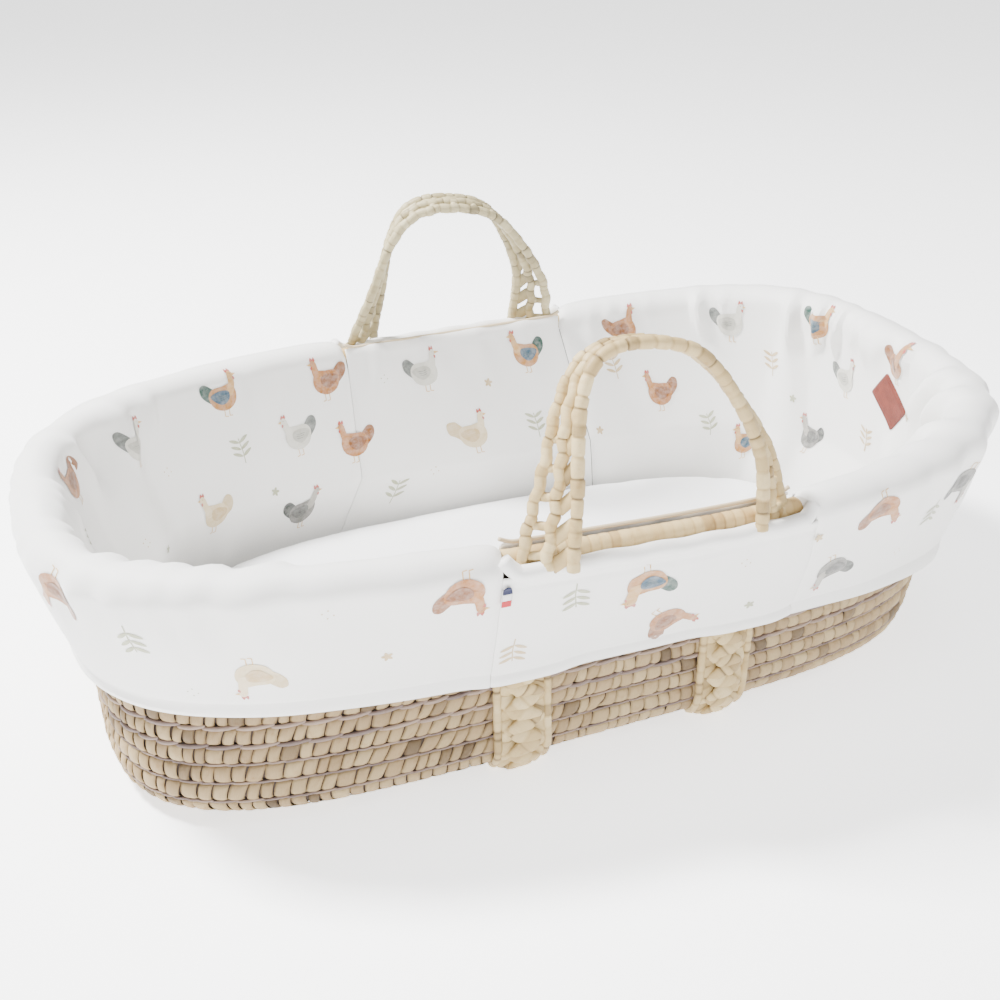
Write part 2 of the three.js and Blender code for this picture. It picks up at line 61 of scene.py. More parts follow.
# height fraction, half length, half width, squareness, widening to the head, shift along X
STATIONS = np.array([
    [0.00, 0.374, 0.187, 4.0, -0.050, 0.000],
    [0.07, 0.381, 0.193, 4.0, -0.050, 0.000],
    [0.43, 0.394, 0.192, 3.4, 0.000, 0.012],
    [1.00, 0.400, 0.227, 3.1, 0.092, 0.000],
])
COURSES = 13
COURSE_THICKNESS = 0.009
COURSE_TOP_DROP = 0.0065
HEM_Z = 0.0974
HEM_RISE_FOOT = 0.011
HEM_RISE_HEAD = -0.019
SLOT_X = (-0.097, 0.147)
STRAP_X = (-0.069, 0.117)
ROD_OFFSET = -0.0035
ROD_LIFT = 0.002
ROD_RADIUS = 0.0075
ROLL_OFFSET = 0.002
ROLL_RADIUS = 0.018
HANDLE_Y = 0.238
PIVOT_Z = 0.2295
PANEL_STEP = 0.0042
PANEL_THICKNESS = 0.0026
STRAP_TOP_Z = 0.2095


# ---- outline ---------------------------------------------------------------------------------------------------
def station(v):
    """Half length, half width, squareness, widening and shift at height fraction v."""
    return [np.interp(v, STATIONS[:, 0], STATIONS[:, k]) for k in range(1, 6)]


def signed_power(value, power):
    return np.sign(value) * np.abs(value) ** power


def along_x(t):
    return signed_power(np.cos(t), 2 / STATIONS[-1, 3])


def rim_z(t):
    u = along_x(t)
    return RIM_Z + np.where(u < 0, RIM_RISE_FOOT, RIM_RISE_HEAD) * np.abs(u) ** RISE_POWER


def hem_z(t):
    u = along_x(t)
    return HEM_Z + np.where(u < 0, HEM_RISE_FOOT, HEM_RISE_HEAD) * np.abs(u) ** RISE_POWER


def outline(t, v, offset):
    """X and Y of the wall's outline at angle t and height fraction v, moved out by offset."""
    a, b, n, k, dx = station(v)
    u = signed_power(np.cos(t), 2 / n)
    y = (b + offset) * signed_power(np.sin(t), 2 / n) * (1 + k * u)
    return (a + offset) * u + dx, y


def wall_point(t, z, offset):
    v = (z - BASE_Z) / (rim_z(t) - BASE_Z)
    x, y = outline(t, np.minimum(v, 1), offset)
    return np.stack([x, y, z + 0 * x], -1)


def rim_point(t, lift, offset):
    x, y = outline(t, 1.0, offset)
    return np.stack([x, y, rim_z(t) + lift], -1)


def angle_at(x):
    """The angle on the +Y side where the rim has a given X."""
    return math.acos(math.copysign(abs(x / STATIONS[-1, 1]) ** (STATIONS[-1, 3] / 2), x))


def even_angles(start, stop, count, v=1.0, closed=False):
    """Angles evenly spaced along the outline at height fraction v."""
    fine = np.linspace(start, stop, 4001)
    x, y = outline(fine, v, 0.0)
    run = np.concatenate([[0], np.cumsum(np.hypot(np.diff(x), np.diff(y)))])
    marks = np.linspace(0, run[-1], count + 1 if closed else count)
    angles = np.interp(marks, run, fine)
    return (angles[:-1] if closed else angles), run[-1]


def side_y(x, z, offset):
    """The wall's Y on the +Y side at a given X and height."""
    t = angle_at(x)
    a, b, n, k, dx = station(np.minimum((z - BASE_Z) / (rim_z(t) - BASE_Z), 1))
    w = (x - dx) / (a + offset)
    return (b + offset) * (1 - np.abs(w) ** n) ** (1 / n) * (1 + k * w)


# ---- mesh helpers ----------------------------------------------------------------------------------------------
def add_object(name, points, faces, material, smooth=True, uvs=None, tones=None):
    """A mesh object. uvs are per point, in metres; tones is one value per point."""
    mesh = bpy.data.meshes.new(name)
    mesh.from_pydata([tuple(p) for p in points], [], [tuple(int(i) for i in f) for f in faces])
    mesh.validate()
    if uvs is not None:
        layer = mesh.uv_layers.new(name="UVMap")
        index = np.zeros(len(mesh.loops), int)
        mesh.loops.foreach_get("vertex_index", index)
        layer.data.foreach_set("uv", np.asarray(uvs, float)[index].ravel())
    if tones is not None:
        mesh.attributes.new("tone", "FLOAT", "POINT").data.foreach_set("value", np.asarray(tones, float))
    mesh.materials.append(material)
    mesh.polygons.foreach_set("use_smooth", [smooth] * len(mesh.polygons))
    mesh.update()
    obj = bpy.data.objects.new(name, mesh)
    bpy.context.scene.collection.objects.link(obj)
    return obj


def fix_normals(obj):
    bm = bmesh.new()
    bm.from_mesh(obj.data)
    bmesh.ops.recalc_face_normals(bm, faces=bm.faces)
    bm.to_mesh(obj.data)
    bm.free()


def thicken(obj, thickness, name="thickness"):
    """Gives a surface a thickness behind its showing face."""
    solid = obj.modifiers.new(name, "SOLIDIFY")
    solid.thickness = thickness
    solid.offset = -1


def grid_faces(columns, rows, loop_columns=False, loop_rows=False, start=0):
    """Quads of a grid whose point (i, j) has index start + i * rows + j."""
    i = np.arange(columns if loop_columns else columns - 1)
    j = np.arange(rows if loop_rows else rows - 1)
    ii, jj = np.meshgrid(i, j, indexing="ij")
    i2, j2 = (ii + 1) % columns, (jj + 1) % rows
    quads = np.stack([ii * rows + jj, i2 * rows + jj, i2 * rows + j2, ii * rows + j2], -1)
    return quads.reshape(-1, 4) + start


class Patchwork:
    """Collects many small grids, and the caps of tubes, into one mesh."""

    def __init__(self):
        self.points, self.faces, self.caps, self.uvs, self.tones, self.count = [], [], [], [], [], 0

    def add(self, points, faces, uvs, tones, caps=()):
        """tones is one value for the whole grid, or one for each point."""
        self.points.append(points)
        self.faces.append(faces + self.count)
        self.caps += [[i + self.count for i in cap] for cap in caps]
        self.uvs.append(uvs)
        self.tones.append(np.broadcast_to(tones, len(points)))
        self.count += len(points)

    def build(self, name, material):
        points, uvs, tones = np.concatenate(self.points), np.concatenate(self.uvs), np.concatenate(self.tones)
        faces = [tuple(f) for f in np.concatenate(self.faces)] + self.caps
        return add_object(name, points, faces, material, True, uvs, tones)


def frames_along(path, side=None):
    """Tangents and two directions across a path; side fixes the first of them at each point."""
    tangent = np.gradient(path, axis=0)
    tangent /= np.linalg.norm(tangent, axis=1)[:, None]
    if side is None:
        side = np.tile([0.0, 0.0, 1.0], (len(path), 1))
    across = side - (side * tangent).sum(1)[:, None] * tangent
    across /= np.linalg.norm(across, axis=1)[:, None]
    return tangent, across, np.cross(tangent, across)


def tube(path, radii, sides, side=None, loop=False, flat=1.0):
    """Points and faces of a round tube; flat squeezes it along its second cross direction."""
    if loop:
        ends = np.concatenate([path[-1:], path, path[:1]])
        sides_in = None if side is None else np.concatenate([side[-1:], side, side[:1]])
        _, across, up = (part[1:-1] for part in frames_along(ends, sides_in))
    else:
        _, across, up = frames_along(path, side)
    turn = np.arange(sides) * TAU / sides
    ring = across[:, None] * np.cos(turn)[None, :, None] + up[:, None] * np.sin(turn)[None, :, None] * flat
    points = (path[:, None] + ring * np.asarray(radii).reshape(-1, 1, 1)).reshape(-1, 3)
    faces = grid_faces(len(path), sides, loop_columns=loop, loop_rows=True)
    return points, faces


def end_caps(count, sides):
    """The faces that close a tube of count rings."""
    return [tuple(range(sides))[::-1], tuple((count - 1) * sides + k for k in range(sides))]


def smooth_path(knots, count):
    """Points spaced evenly on a smooth curve through the knots."""
    knots = np.asarray(knots, float)
    padded = np.concatenate([2 * knots[:1] - knots[1:2], knots, 2 * knots[-1:] - knots[-2:-1]])
    pieces = []
    for p0, p1, p2, p3 in zip(padded, padded[1:], padded[2:], padded[3:]):
        s = np.linspace(0, 1, 24, endpoint=False)[:, None]
        pieces.append(0.5 * (2 * p1 + (p2 - p0) * s + (2 * p0 - 5 * p1 + 4 * p2 - p3) * s**2
                             + (3 * p1 - p0 - 3 * p2 + p3) * s**3))
    fine = np.concatenate(pieces + [knots[-1:]])
    run = np.concatenate([[0], np.cumsum(np.linalg.norm(np.diff(fine, axis=0), axis=1))])
    marks = np.linspace(0, run[-1], count)
    return np.stack([np.interp(marks, run, fine[:, k]) for k in range(fine.shape[1])], -1)


# ---- materials -------------------------------------------------------------------------------------------------
class Nodes:
    """A short way to write a node tree."""

    def __init__(self, name):
        self.material = bpy.data.materials.new(name)
        self.material.use_nodes = True
        self.tree = self.material.node_tree
        self.shader = self.tree.nodes["Principled BSDF"]

    def add(self, kind, **values):
        node = self.tree.nodes.new(kind)
        for key, value in values.items():
            if hasattr(node, key) and key not in node.inputs:
                setattr(node, key, value)
            else:
                self.set(node.inputs[key], value)
        return node

    def set(self, socket, value):
        if isinstance(value, bpy.types.NodeSocket):
            self.tree.links.new(value, socket)
        else:
            socket.default_value = value

    def shade(self, **values):
        for key, value in values.items():
            self.set(self.shader.inputs[key.replace("_", " ")], value)

    def math(self, operation, a, b=0.0):
        node = self.add("ShaderNodeMath", operation=operation)
        self.set(node.inputs[0], a)
        self.set(node.inputs[1], b)
        return node.outputs[0]

    def noise(self, vector, scale, detail=3.0, roughness=0.55):
        node = self.add("ShaderNodeTexNoise", Scale=scale, Detail=detail, Roughness=roughness)
        self.set(node.inputs["Vector"], vector)
        return node.outputs["Fac"]

    def stretch(self, vector, scale):
        node = self.add("ShaderNodeVectorMath", operation="MULTIPLY")
        self.set(node.inputs[0], vector)
        node.inputs[1].default_value = scale
        return node.outputs[0]

    def ramp(self, fac, stops):
        node = self.add("ShaderNodeValToRGB")
        self.set(node.inputs["Fac"], fac)
        ramp = node.color_ramp
        while len(ramp.elements) < len(stops):
            ramp.elements.new(0.5)
        for element, (place, colour) in zip(ramp.elements, stops):
            element.position = place
            element.color = (*colour, 1)
        return node.outputs["Color"]

    def mix(self, fac, a, b, blend="MIX"):
        node = self.add("ShaderNodeMix", data_type="RGBA", blend_type=blend)
        self.set(node.inputs[0], fac)
        self.set(node.inputs[6], a if isinstance(a, bpy.types.NodeSocket) else (*a, 1))
        self.set(node.inputs[7], b if isinstance(b, bpy.types.NodeSocket) else (*b, 1))
        return node.outputs[2]

    def bump(self, height, strength, distance, normal=None):
        node = self.add("ShaderNodeBump", Strength=strength, Distance=distance)
        self.set(node.inputs["Height"], height)
        if normal is not None:
            self.set(node.inputs["Normal"], normal)
        return node.outputs["Normal"]


def leaf_material(name, dark, mid, light, streak, roughness=0.62):
    """Dried palm or straw: a tone for each wrap, fibres along the leaf, and darker flecks."""
    n = Nodes(name)
    uv = n.add("ShaderNodeTexCoord").outputs["UV"]
    tone = n.add("ShaderNodeAttribute", attribute_name="tone").outputs["Fac"]
    fibres = n.noise(n.stretch(uv, (1.0, 0.07, 1.0)), 1500, 4)
    blotch = n.noise(uv, 130, 3)
    colour = n.ramp(tone, [(0.0, dark), (0.45, mid), (1.0, light)])
    colour = n.mix(n.math("MULTIPLY", fibres, 0.55), colour, streak, "MULTIPLY")
    fleck = n.ramp(blotch, [(0.56, (1, 1, 1)), (0.74, (0.80, 0.70, 0.60))])
    colour = n.mix(0.65, colour, fleck, "MULTIPLY")
    height = n.math("ADD", fibres, n.math("MULTIPLY", blotch, 0.8))
    n.shade(Base_Color=colour, Roughness=roughness, Specular_IOR_Level=0.35)
    n.shade(Normal=n.bump(height, 0.55, 0.0006))
    return n.material


def cotton_material(name, colour, shade, weave=0.12):
    """Sateen cotton: a fine weave, soft sheen and slight colour variation."""
    n = Nodes(name)
    uv = n.add("ShaderNodeTexCoord").outputs["UV"]
    threads = n.add("ShaderNodeTexWave", wave_type="BANDS", bands_direction="X", Scale=520.0, Distortion=1.5)
    n.set(threads.inputs["Vector"], uv)
    picks = n.add("ShaderNodeTexWave", wave_type="BANDS", bands_direction="Y", Scale=430.0, Distortion=1.5)
    n.set(picks.inputs["Vector"], uv)
    cloth = n.math("MULTIPLY", threads.outputs["Fac"], picks.outputs["Fac"])
    cloud = n.noise(uv, 14, 4)
    tint = n.mix(n.math("MULTIPLY", cloud, 0.45), colour, shade)
    height = n.math("ADD", cloth, n.math("MULTIPLY", cloud, 2.0))
    n.shade(Base_Color=tint, Roughness=0.58, Sheen_Weight=0.35, Sheen_Roughness=0.4, Specular_IOR_Level=0.35)
    n.shade(Normal=n.bump(height, weave, 0.0008))
    return n.material


def print_material():
    """Watercolour print: each shape's own ink, from its colour attribute, with washes of lighter pigment."""
    n = Nodes("print_inks")
    uv = n.add("ShaderNodeTexCoord").outputs["UV"]
    ink = n.add("ShaderNodeAttribute", attribute_name="ink").outputs["Color"]
    wash = n.noise(uv, 160, 5, 0.65)
    grains = n.noise(uv, 700, 2)
    lift = n.ramp(wash, [(0.36, (0, 0, 0)), (0.66, (1, 1, 1))])
    colour = n.mix(n.math("MULTIPLY", lift, 0.20), ink, (0.95, 0.94, 0.90))
    colour = n.mix(n.math("MULTIPLY", grains, 0.25), colour, ink)
    n.shade(Base_Color=colour, Roughness=0.6, Sheen_Weight=0.3, Specular_IOR_Level=0.3)
    n.shade(Normal=n.bump(grains, 0.06, 0.0004))
    return n.material


def leather_material():
    n = Nodes("label_leather")
    uv = n.add("ShaderNodeTexCoord").outputs["UV"]
    cells = n.add("ShaderNodeTexVoronoi", Scale=900.0, feature="F1")
    n.set(cells.inputs["Vector"], uv)
    cloud = n.noise(uv, 90, 4)
    colour = n.ramp(cloud, [(0.30, (0.11, 0.018, 0.010)), (0.70, (0.19, 0.036, 0.021))])
    height = n.math("ADD", cells.outputs["Distance"], n.math("MULTIPLY", cloud, 0.7))
    n.shade(Base_Color=colour, Roughness=0.48, Specular_IOR_Level=0.4, Normal=n.bump(height, 0.35, 0.0005))
    return n.material


def ribbon_material(name, colour):
    n = Nodes(name)
    uv = n.add("ShaderNodeTexCoord").outputs["UV"]
    ribs = n.add("ShaderNodeTexWave", wave_type="BANDS", bands_direction="Y", Scale=420.0)
    n.set(ribs.inputs["Vector"], uv)
    # the ribs are darker in their hollows, following the bump: painted shade
    shade = tuple(0.7 * c for c in colour)
    n.shade(Base_Color=n.mix(ribs.outputs["Fac"], shade, colour), Roughness=0.55)
    n.shade(Normal=n.bump(ribs.outputs["Fac"], 0.3, 0.0004))
    return n.material


def floor_material():
    n = Nodes("studio_floor")
    place = n.add("ShaderNodeTexCoord").outputs["Object"]
    grain = n.noise(place, 3.0)
    n.shade(Base_Color=n.mix(grain, (0.93, 0.93, 0.93), (0.95, 0.95, 0.95)), Roughness=0.9)
    n.shade(Emission_Color=(1, 1, 1, 1), Emission_Strength=1.7)
    return n.material


PALM = leaf_material("palm_leaf",
                     (0.11, 0.075, 0.04), (0.37, 0.265, 0.14), (0.54, 0.425, 0.235), (0.66, 0.56, 0.40))
# near-black palm for the bundles behind the wraps: painted shade in the gaps between them
PALM_CORE_PAINTED_SHADE = leaf_material("palm_core_painted_shade",
                          (0.05, 0.035, 0.03), (0.09, 0.065, 0.05), (0.14, 0.10, 0.075), (0.8, 0.7, 0.6))
SEWING = leaf_material("palm_sewing",
                       (0.10, 0.075, 0.07), (0.22, 0.165, 0.145), (0.36, 0.27, 0.21), (0.8, 0.72, 0.7))
STRAW = leaf_material("straw",
                      (0.13, 0.085, 0.035), (0.50, 0.37, 0.175), (0.68, 0.56, 0.32), (0.74, 0.62, 0.42), 0.5)
STRAW_GREY = leaf_material("straw_grey",
                           (0.10, 0.08, 0.045), (0.42, 0.36, 0.21), (0.60, 0.54, 0.35), (0.7, 0.65, 0.5), 0.5)
ROD_STRAW = leaf_material("rod_straw",
                          (0.24, 0.14, 0.05), (0.58, 0.42, 0.20), (0.70, 0.56, 0.31), (0.84, 0.72, 0.52), 0.42)
COTTON = cotton_material("liner_cotton", (0.88, 0.872, 0.85), (0.82, 0.81, 0.78))
# tan cotton for the thin line along each slot's inner lip: painted shadow line
PAINTED_SHADOW_LINE = cotton_material("tan_painted_shadow_line", (0.62, 0.50, 0.33), (0.52, 0.41, 0.27), 0.3)
MATTRESS = cotton_material("mattress_cotton", (0.90, 0.90, 0.90), (0.87, 0.87, 0.87), 0.2)
INKS = print_material()
LEATHER = leather_material()


# ---- stage -----------------------------------------------------------------------------------------------------
def add_stage():
    bpy.ops.mesh.primitive_plane_add(size=60, location=(0, 0, 0))
    floor = bpy.context.object
    floor.name = "studio_floor"
    floor.data.materials.append(floor_material())
    world = bpy.data.worlds.new("studio")
    bpy.context.scene.world = world
    world.use_nodes = True
    world.node_tree.nodes["Background"].inputs["Color"].default_value = (1, 1, 1, 1)
    world.node_tree.nodes["Background"].inputs["Strength"].default_value = 0.5
    # name, place, target, size, watts
    lamps = [
        ("key", (-1.3, 0.9, 2.4), (0, 0, 0.1), 0.5, 330),
        ("fill", (-0.9, -2.4, 1.5), (0, 0, 0.1), 1.2, 60),
        ("side", (2.4, -0.6, 1.9), (0, 0, 0.15), 1.6, 30),
    ]
    for name, place, target, size, watts in lamps:
        light = bpy.data.lights.new(name, "AREA")
        light.energy = watts
        light.size = size
        lamp = bpy.data.objects.new(name, light)
        lamp.location = place
        lamp.rotation_euler = (Vector(target) - Vector(place)).to_track_quat("-Z", "Y").to_euler()
        bpy.context.scene.collection.objects.link(lamp)


def add_camera():
    data = bpy.data.cameras.new("camera")
    data.lens = 44.74
    data.sensor_width = 36.0
    data.shift_x = -0.0014
    data.shift_y = 0.0205
    camera = bpy.data.objects.new("camera", data)
    camera.location = (-0.378, -0.936, 0.670)
    camera.rotation_euler = Vector((0.3218, 0.8166, -0.4792)).to_track_quat("-Z", "Y").to_euler()
    bpy.context.scene.collection.objects.link(camera)
    bpy.context.scene.camera = camera


add_camera()
add_stage()


# ---- coiled palm wall ------------------------------------------------------------------------------------------
LEAF_WIDTH = 0.0118
LEAF_BULGE = 0.0026
VISIBLE_COURSES = 9


def course_z(t, row):
    return BASE_Z + (rim_z(t) - COURSE_TOP_DROP - BASE_Z) * row / COURSES


def leaf_plate(work, rng, place, width, tone):
    """One wrap of leaf. place(a, h, depth) maps across 0..1, height 0..1 and depth to a point."""
    across, rows = 5, 7
    lift_left, lift_right = rng.uniform(-0.0004, 0.0003), rng.uniform(0.0003, 0.0012)
    lean = rng.uniform(-0.16, 0.22)
    top, bottom = rng.uniform(0.0, 0.05), rng.uniform(0.0, 0.05)
    points, uvs = [], []
    start = rng.uniform(0, 9)
    for i in range(across):
        a = i / (across - 1)
        for j in range(rows):
            h = j / (rows - 1)
            crown = math.sqrt(max(0.0, 1 - (2 * h - 1) ** 2 * 0.96))
            depth = -0.0022 + LEAF_BULGE * 1.25 * crown + lift_left * (1 - a) + lift_right * a * crown
            depth += 0.00035 * math.sin(math.pi * a)
            if i in (0, across - 1):
                depth -= 0.0009
            height = bottom + h * (1 - top - bottom)
            points.append(place(a + lean * (h - 0.5), height, depth))
            uvs.append((start + a * width, start + h * 0.015))
    work.add(np.array(points), grid_faces(across, rows), np.array(uvs), tone)


def wall_tone(rng, row):
    """The lower courses are yellower and the upper ones pinker and darker."""
    if rng.random() < 0.06:
        return rng.uniform(0.0, 0.2)
    return min(1.0, max(0.05, rng.gauss(0.58 - 0.02 * row, 0.13)))


def build_course(row):
    rng = random.Random(100 + row)
    middle = (row + 0.5) / COURSES
    columns = 160
    core_angles, length = even_angles(0, TAU, columns, middle, closed=True)
    name = f"palm_course_{row + 1:02d}"
    # the coil's own bundle behind the wraps, coloured near black so that the gaps between the wraps show painted
    # shade
    profile = [(0.0, -0.0035), (0.25, -0.0012), (0.5, -0.0008), (0.75, -0.0012), (1.0, -0.0035),
               (1.0, -COURSE_THICKNESS), (0.0, -COURSE_THICKNESS)]
    points, uvs = [], []
    for i, t in enumerate(core_angles):
        low, high = course_z(t, row), course_z(t, row + 1)
        for h, depth in profile:
            points.append(wall_point(t, low + (high - low) * (0.015 + 0.97 * h), depth - 0.0004))
            uvs.append((i / columns * length, h * 0.015))
    faces = grid_faces(columns, len(profile), loop_columns=True, loop_rows=True)
    core = add_object(name + "_core", np.array(points), faces, PALM_CORE_PAINTED_SHADE, True, uvs, np.full(len(points), 0.5))
    fix_normals(core)
    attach(core, "basket")
    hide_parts(f"wall_course_{row + 1:02d}")
    if row >= VISIBLE_COURSES:
        return
    work = Patchwork()
    count = int(length / LEAF_WIDTH)
    shares = np.array([rng.uniform(0.75, 1.3) for _ in range(count)])
    edges = np.concatenate([[0], np.cumsum(shares)]) / shares.sum() * length
    table, _ = even_angles(0, TAU, 2001, middle)
    marks = np.linspace(0, length, 2001)
    for left, right in zip(edges, edges[1:]):
        gap = 0.0004 + 0.0006 * rng.random()

        def place(a, h, depth):
            t = float(np.interp((left + gap + (right - left - gap) * a) % length, marks, table))
            low, high = float(course_z(t, row)), float(course_z(t, row + 1))
            return wall_point(t, low + (high - low) * (0.02 + 0.96 * h), depth)

        leaf_plate(work, rng, place, right - left, wall_tone(rng, row))
    leaves = work.build(name + "_leaves", PALM)
    thicken(leaves, 0.0007)
    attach(leaves, "basket")


def build_sewing():
    """The strand that sews each course to the next, lying in the groove between them."""
    rng = random.Random(7)
    for row in range(1, VISIBLE_COURSES):
        work = Patchwork()
        table, length = even_angles(0, TAU, 2001, row / COURSES)
        marks = np.linspace(0, length, 2001)
        upper = row >= 4
        at = 0.0
        while at < length - 0.008:
            run = rng.uniform(0.018, 0.034) if upper else rng.uniform(0.010, 0.022)
            stop = min(at + run, length)
            steps = 9
            s = np.linspace(at, stop, steps)
            t = np.interp(s, marks, table)
            f = np.linspace(0, 1, steps)
            rise = (f - 0.5) * (0.0022 if upper else 0.001)
            depth = -0.0012 + 0.0014 * np.sin(math.pi * f) * (1.0 if upper else 0.2)
            path = wall_point(t, course_z(t, row) + rise, depth)
            radius = (0.0019 if upper else 0.0011) * (0.55 + 0.45 * np.sin(math.pi * f) ** 0.5)
            points, faces = tube(path, radius, 8)
            uvs = np.stack([np.tile(np.arange(8) * 0.001, steps), np.repeat(s, 8)], -1)
            work.add(points, faces, uvs, rng.uniform(0.25, 0.9))
            at = stop - 0.002
        strand = work.build(f"palm_sewing_{row:02d}", SEWING)
        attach(strand, "basket")


def build_floor():
    """The floor is one flat coil, wrapped like the wall; its rings are seen from underneath."""
    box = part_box("base_mat")
    rng = random.Random(31)
    pitch = 0.0150
    work = Patchwork()
    a0, b0 = (box[1].x - box[0].x) / 2, (box[1].y - box[0].y) / 2
    start = -COURSE_THICKNESS
    rings = int((b0 - start) / pitch)
    for ring in range(rings):
        outer = start + ring * pitch
        count = max(8, int(2.0 * (a0 + b0 - 2 * outer) * 1.7 / 0.016))
        angles = np.linspace(0, TAU, 721)
        shape = 4.0 - 0.14 * ring

        def ring_xy(t, inset):
            half_a, half_b = a0 - outer - inset, b0 - outer - inset
            px = half_a * signed_power(np.cos(t), 2 / shape)
            widening = 1 + STATIONS[0, 4] * px / a0
            return px, half_b * signed_power(np.sin(t), 2 / shape) * widening

        x, y = ring_xy(angles, 0)
        run = np.concatenate([[0], np.cumsum(np.hypot(np.diff(x), np.diff(y)))])
        for k in range(count):
            low, high = run[-1] * k / count, run[-1] * (k + 0.93) / count

            def place(a, h, depth):
                t = float(np.interp(np.clip(low + (high - low) * a, 0, run[-1]), run, angles))
                px, py = ring_xy(t, h * pitch * 0.98)
                return np.array([px, py, box[0].z + 0.0015 - depth])

            leaf_plate(work, rng, place, high - low, wall_tone(rng, 3))
    # the coil starts as one straight bundle along the middle
    half_x, half_y = a0 - start - rings * pitch, b0 - start - rings * pitch
    count = int(2 * half_x / 0.013)
    for k in range(count):
        def place(a, h, depth):
            x = half_x * (2 * (k + 0.93 * a) / count - 1)
            return np.array([x, half_y * (1 - 2 * h), box[0].z + 0.0015 - depth])

        leaf_plate(work, rng, place, 0.012, wall_tone(rng, 3))
    leaves = work.build("palm_floor_leaves", PALM)
    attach(leaves, "basket")
    # a flat plate of the near-black core palm above the floor rings: painted shade in the gaps between their
    # wraps
    t, _ = even_angles(0, TAU, 96, 0.0, closed=True)
    rows = []
    for scale, z in ((0.0, box[0].z + 0.003), (1.0, box[0].z + 0.003), (1.0, box[1].z), (0.0, box[1].z)):
        x, y = outline(t, 0.0, -COURSE_THICKNESS - 0.0006)
        rows.append(np.stack([x * scale, y * scale, np.full_like(x, z)], -1))
    points = np.stack(rows, 1).reshape(-1, 3)
    uvs = points[:, :2]
    tones = np.full(len(points), 0.5)
    plate = add_object("palm_floor_core", points, grid_faces(96, 4, True), PALM_CORE_PAINTED_SHADE, False, uvs, tones)
    bm = bmesh.new()
    bm.from_mesh(plate.data)
    bmesh.ops.remove_doubles(bm, verts=bm.verts, dist=1e-5)
    bm.to_mesh(plate.data)
    bm.free()
    fix_normals(plate)
    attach(plate, "basket")
    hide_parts("base_mat")


def build_rod():
    """The wrapped rod around the rim, with a slight ridge at each turn of its wrap."""
    count = 1500
    t, length = even_angles(0, TAU, count, 1.0, closed=True)
    path = rim_point(t, ROD_LIFT, ROD_OFFSET)
    s = np.arange(count) * length / count
    rng = random.Random(5)
    wrap = 0.0085
    tones = np.array([rng.uniform(0.25, 0.95) for _ in range(int(length / wrap) + 2)])
    turn = (s / wrap).astype(int)
    edge = np.abs((s / wrap) % 1 - 0.5) * 2
    radii = ROD_RADIUS * (1.0 - 0.10 * edge**8) * (0.97 + 0.03 * tones[turn])
    sides = 20
    points, faces = tube(path, radii, sides, loop=True)
    uvs = np.stack([np.repeat(s, sides), np.tile(np.arange(sides) / sides * 0.047, count)], -1)
    # each turn's tone darkens at its two ends, in the groove between turns: painted shade
    rod_tones_with_groove_shade = np.repeat(tones[turn] * (1 - 0.8 * edge**10), sides)
    rod = add_object("rim_rod_wrapped", points, faces, ROD_STRAW, True, uvs, rod_tones_with_groove_shade)
    fix_normals(rod)
    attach(rod, "basket")
    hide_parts("rim_rod")


# ---- straw cords: straps and handles ---------------------------------------------------------------------------
def wrapped_cord(work, rng, path, radius, side=None, pitch=0.011, sides=12, flat=1.0, ridge=0.10, step=0.0014):
    """A cord wrapped in straw: the wraps are slightly different in thickness and tone, with a groove between that
    is painted darker as shade.
    """
    run = np.concatenate([[0], np.cumsum(np.linalg.norm(np.diff(path, axis=0), axis=1))])
    count = max(8, int(run[-1] / step))
    marks = np.linspace(0, run[-1], count)
    fine = np.stack([np.interp(marks, run, path[:, k]) for k in range(3)], -1)
    if side is not None:
        side = np.stack([np.interp(marks, run, side[:, k]) for k in range(3)], -1)
    edges = [0.0]
    while edges[-1] < run[-1]:
        edges.append(edges[-1] + pitch * rng.uniform(0.65, 1.35))
    edges = np.array(edges)
    wrap = np.clip(np.searchsorted(edges, marks, side="right") - 1, 0, len(edges) - 2)
    f = (marks - edges[wrap]) / (edges[wrap + 1] - edges[wrap])
    swell = np.array([rng.uniform(-0.07, 0.07) for _ in edges])
    tone = np.array([min(1, max(0, rng.gauss(0.62, 0.16))) for _ in edges])
    radii = radius * (1 + swell[wrap] + 0.05 * f - ridge * (np.abs(2 * f - 1) ** 8))
    radii[0] *= 0.4
    radii[-1] *= 0.4
    points, faces = tube(fine, radii, sides, side, flat=flat)
    uvs = np.stack([np.repeat(marks, sides), np.tile(np.arange(sides) / sides * radius * 6, count)], -1)
    # each wrap's tone darkens sharply at its two ends, in the groove between wraps: painted shade
    tones = np.repeat(np.maximum(0, tone[wrap] - 0.8 * (np.abs(2 * f - 1) ** 12)), sides)
    work.add(points, faces, uvs, tones, end_caps(count, sides))


def build_cords(work, name, material):
    obj = work.build(name, material)
    fix_normals(obj)
    return obj


def strap_route(x):
    """Centre line of a strap from the front rim, under the floor, to the back rim."""
    depth = 0.0040
    front = []
    for z in (STRAP_TOP_Z, 0.190, 0.165, 0.140, 0.115, 0.0967, 0.070, 0.045, 0.024):
        lift = 0.0036 * max(0.0, (z - HEM_Z) / (STRAP_TOP_Z - HEM_Z)) ** 2
        front.append((x, -float(side_y(x, z, 0.0006 + lift + depth)), z))
    edge = float(side_y(x, BASE_Z + 0.001, 0.0))
    low = [(x, -edge - 0.0035, 0.0090), (x, -edge + 0.002, 0.0044), (x, -edge + 0.012, 0.0036)]
    half = front + low + [(x, -0.09, 0.0036)]
    return np.array(half + [(px, -py, pz) for px, py, pz in reversed(half)])


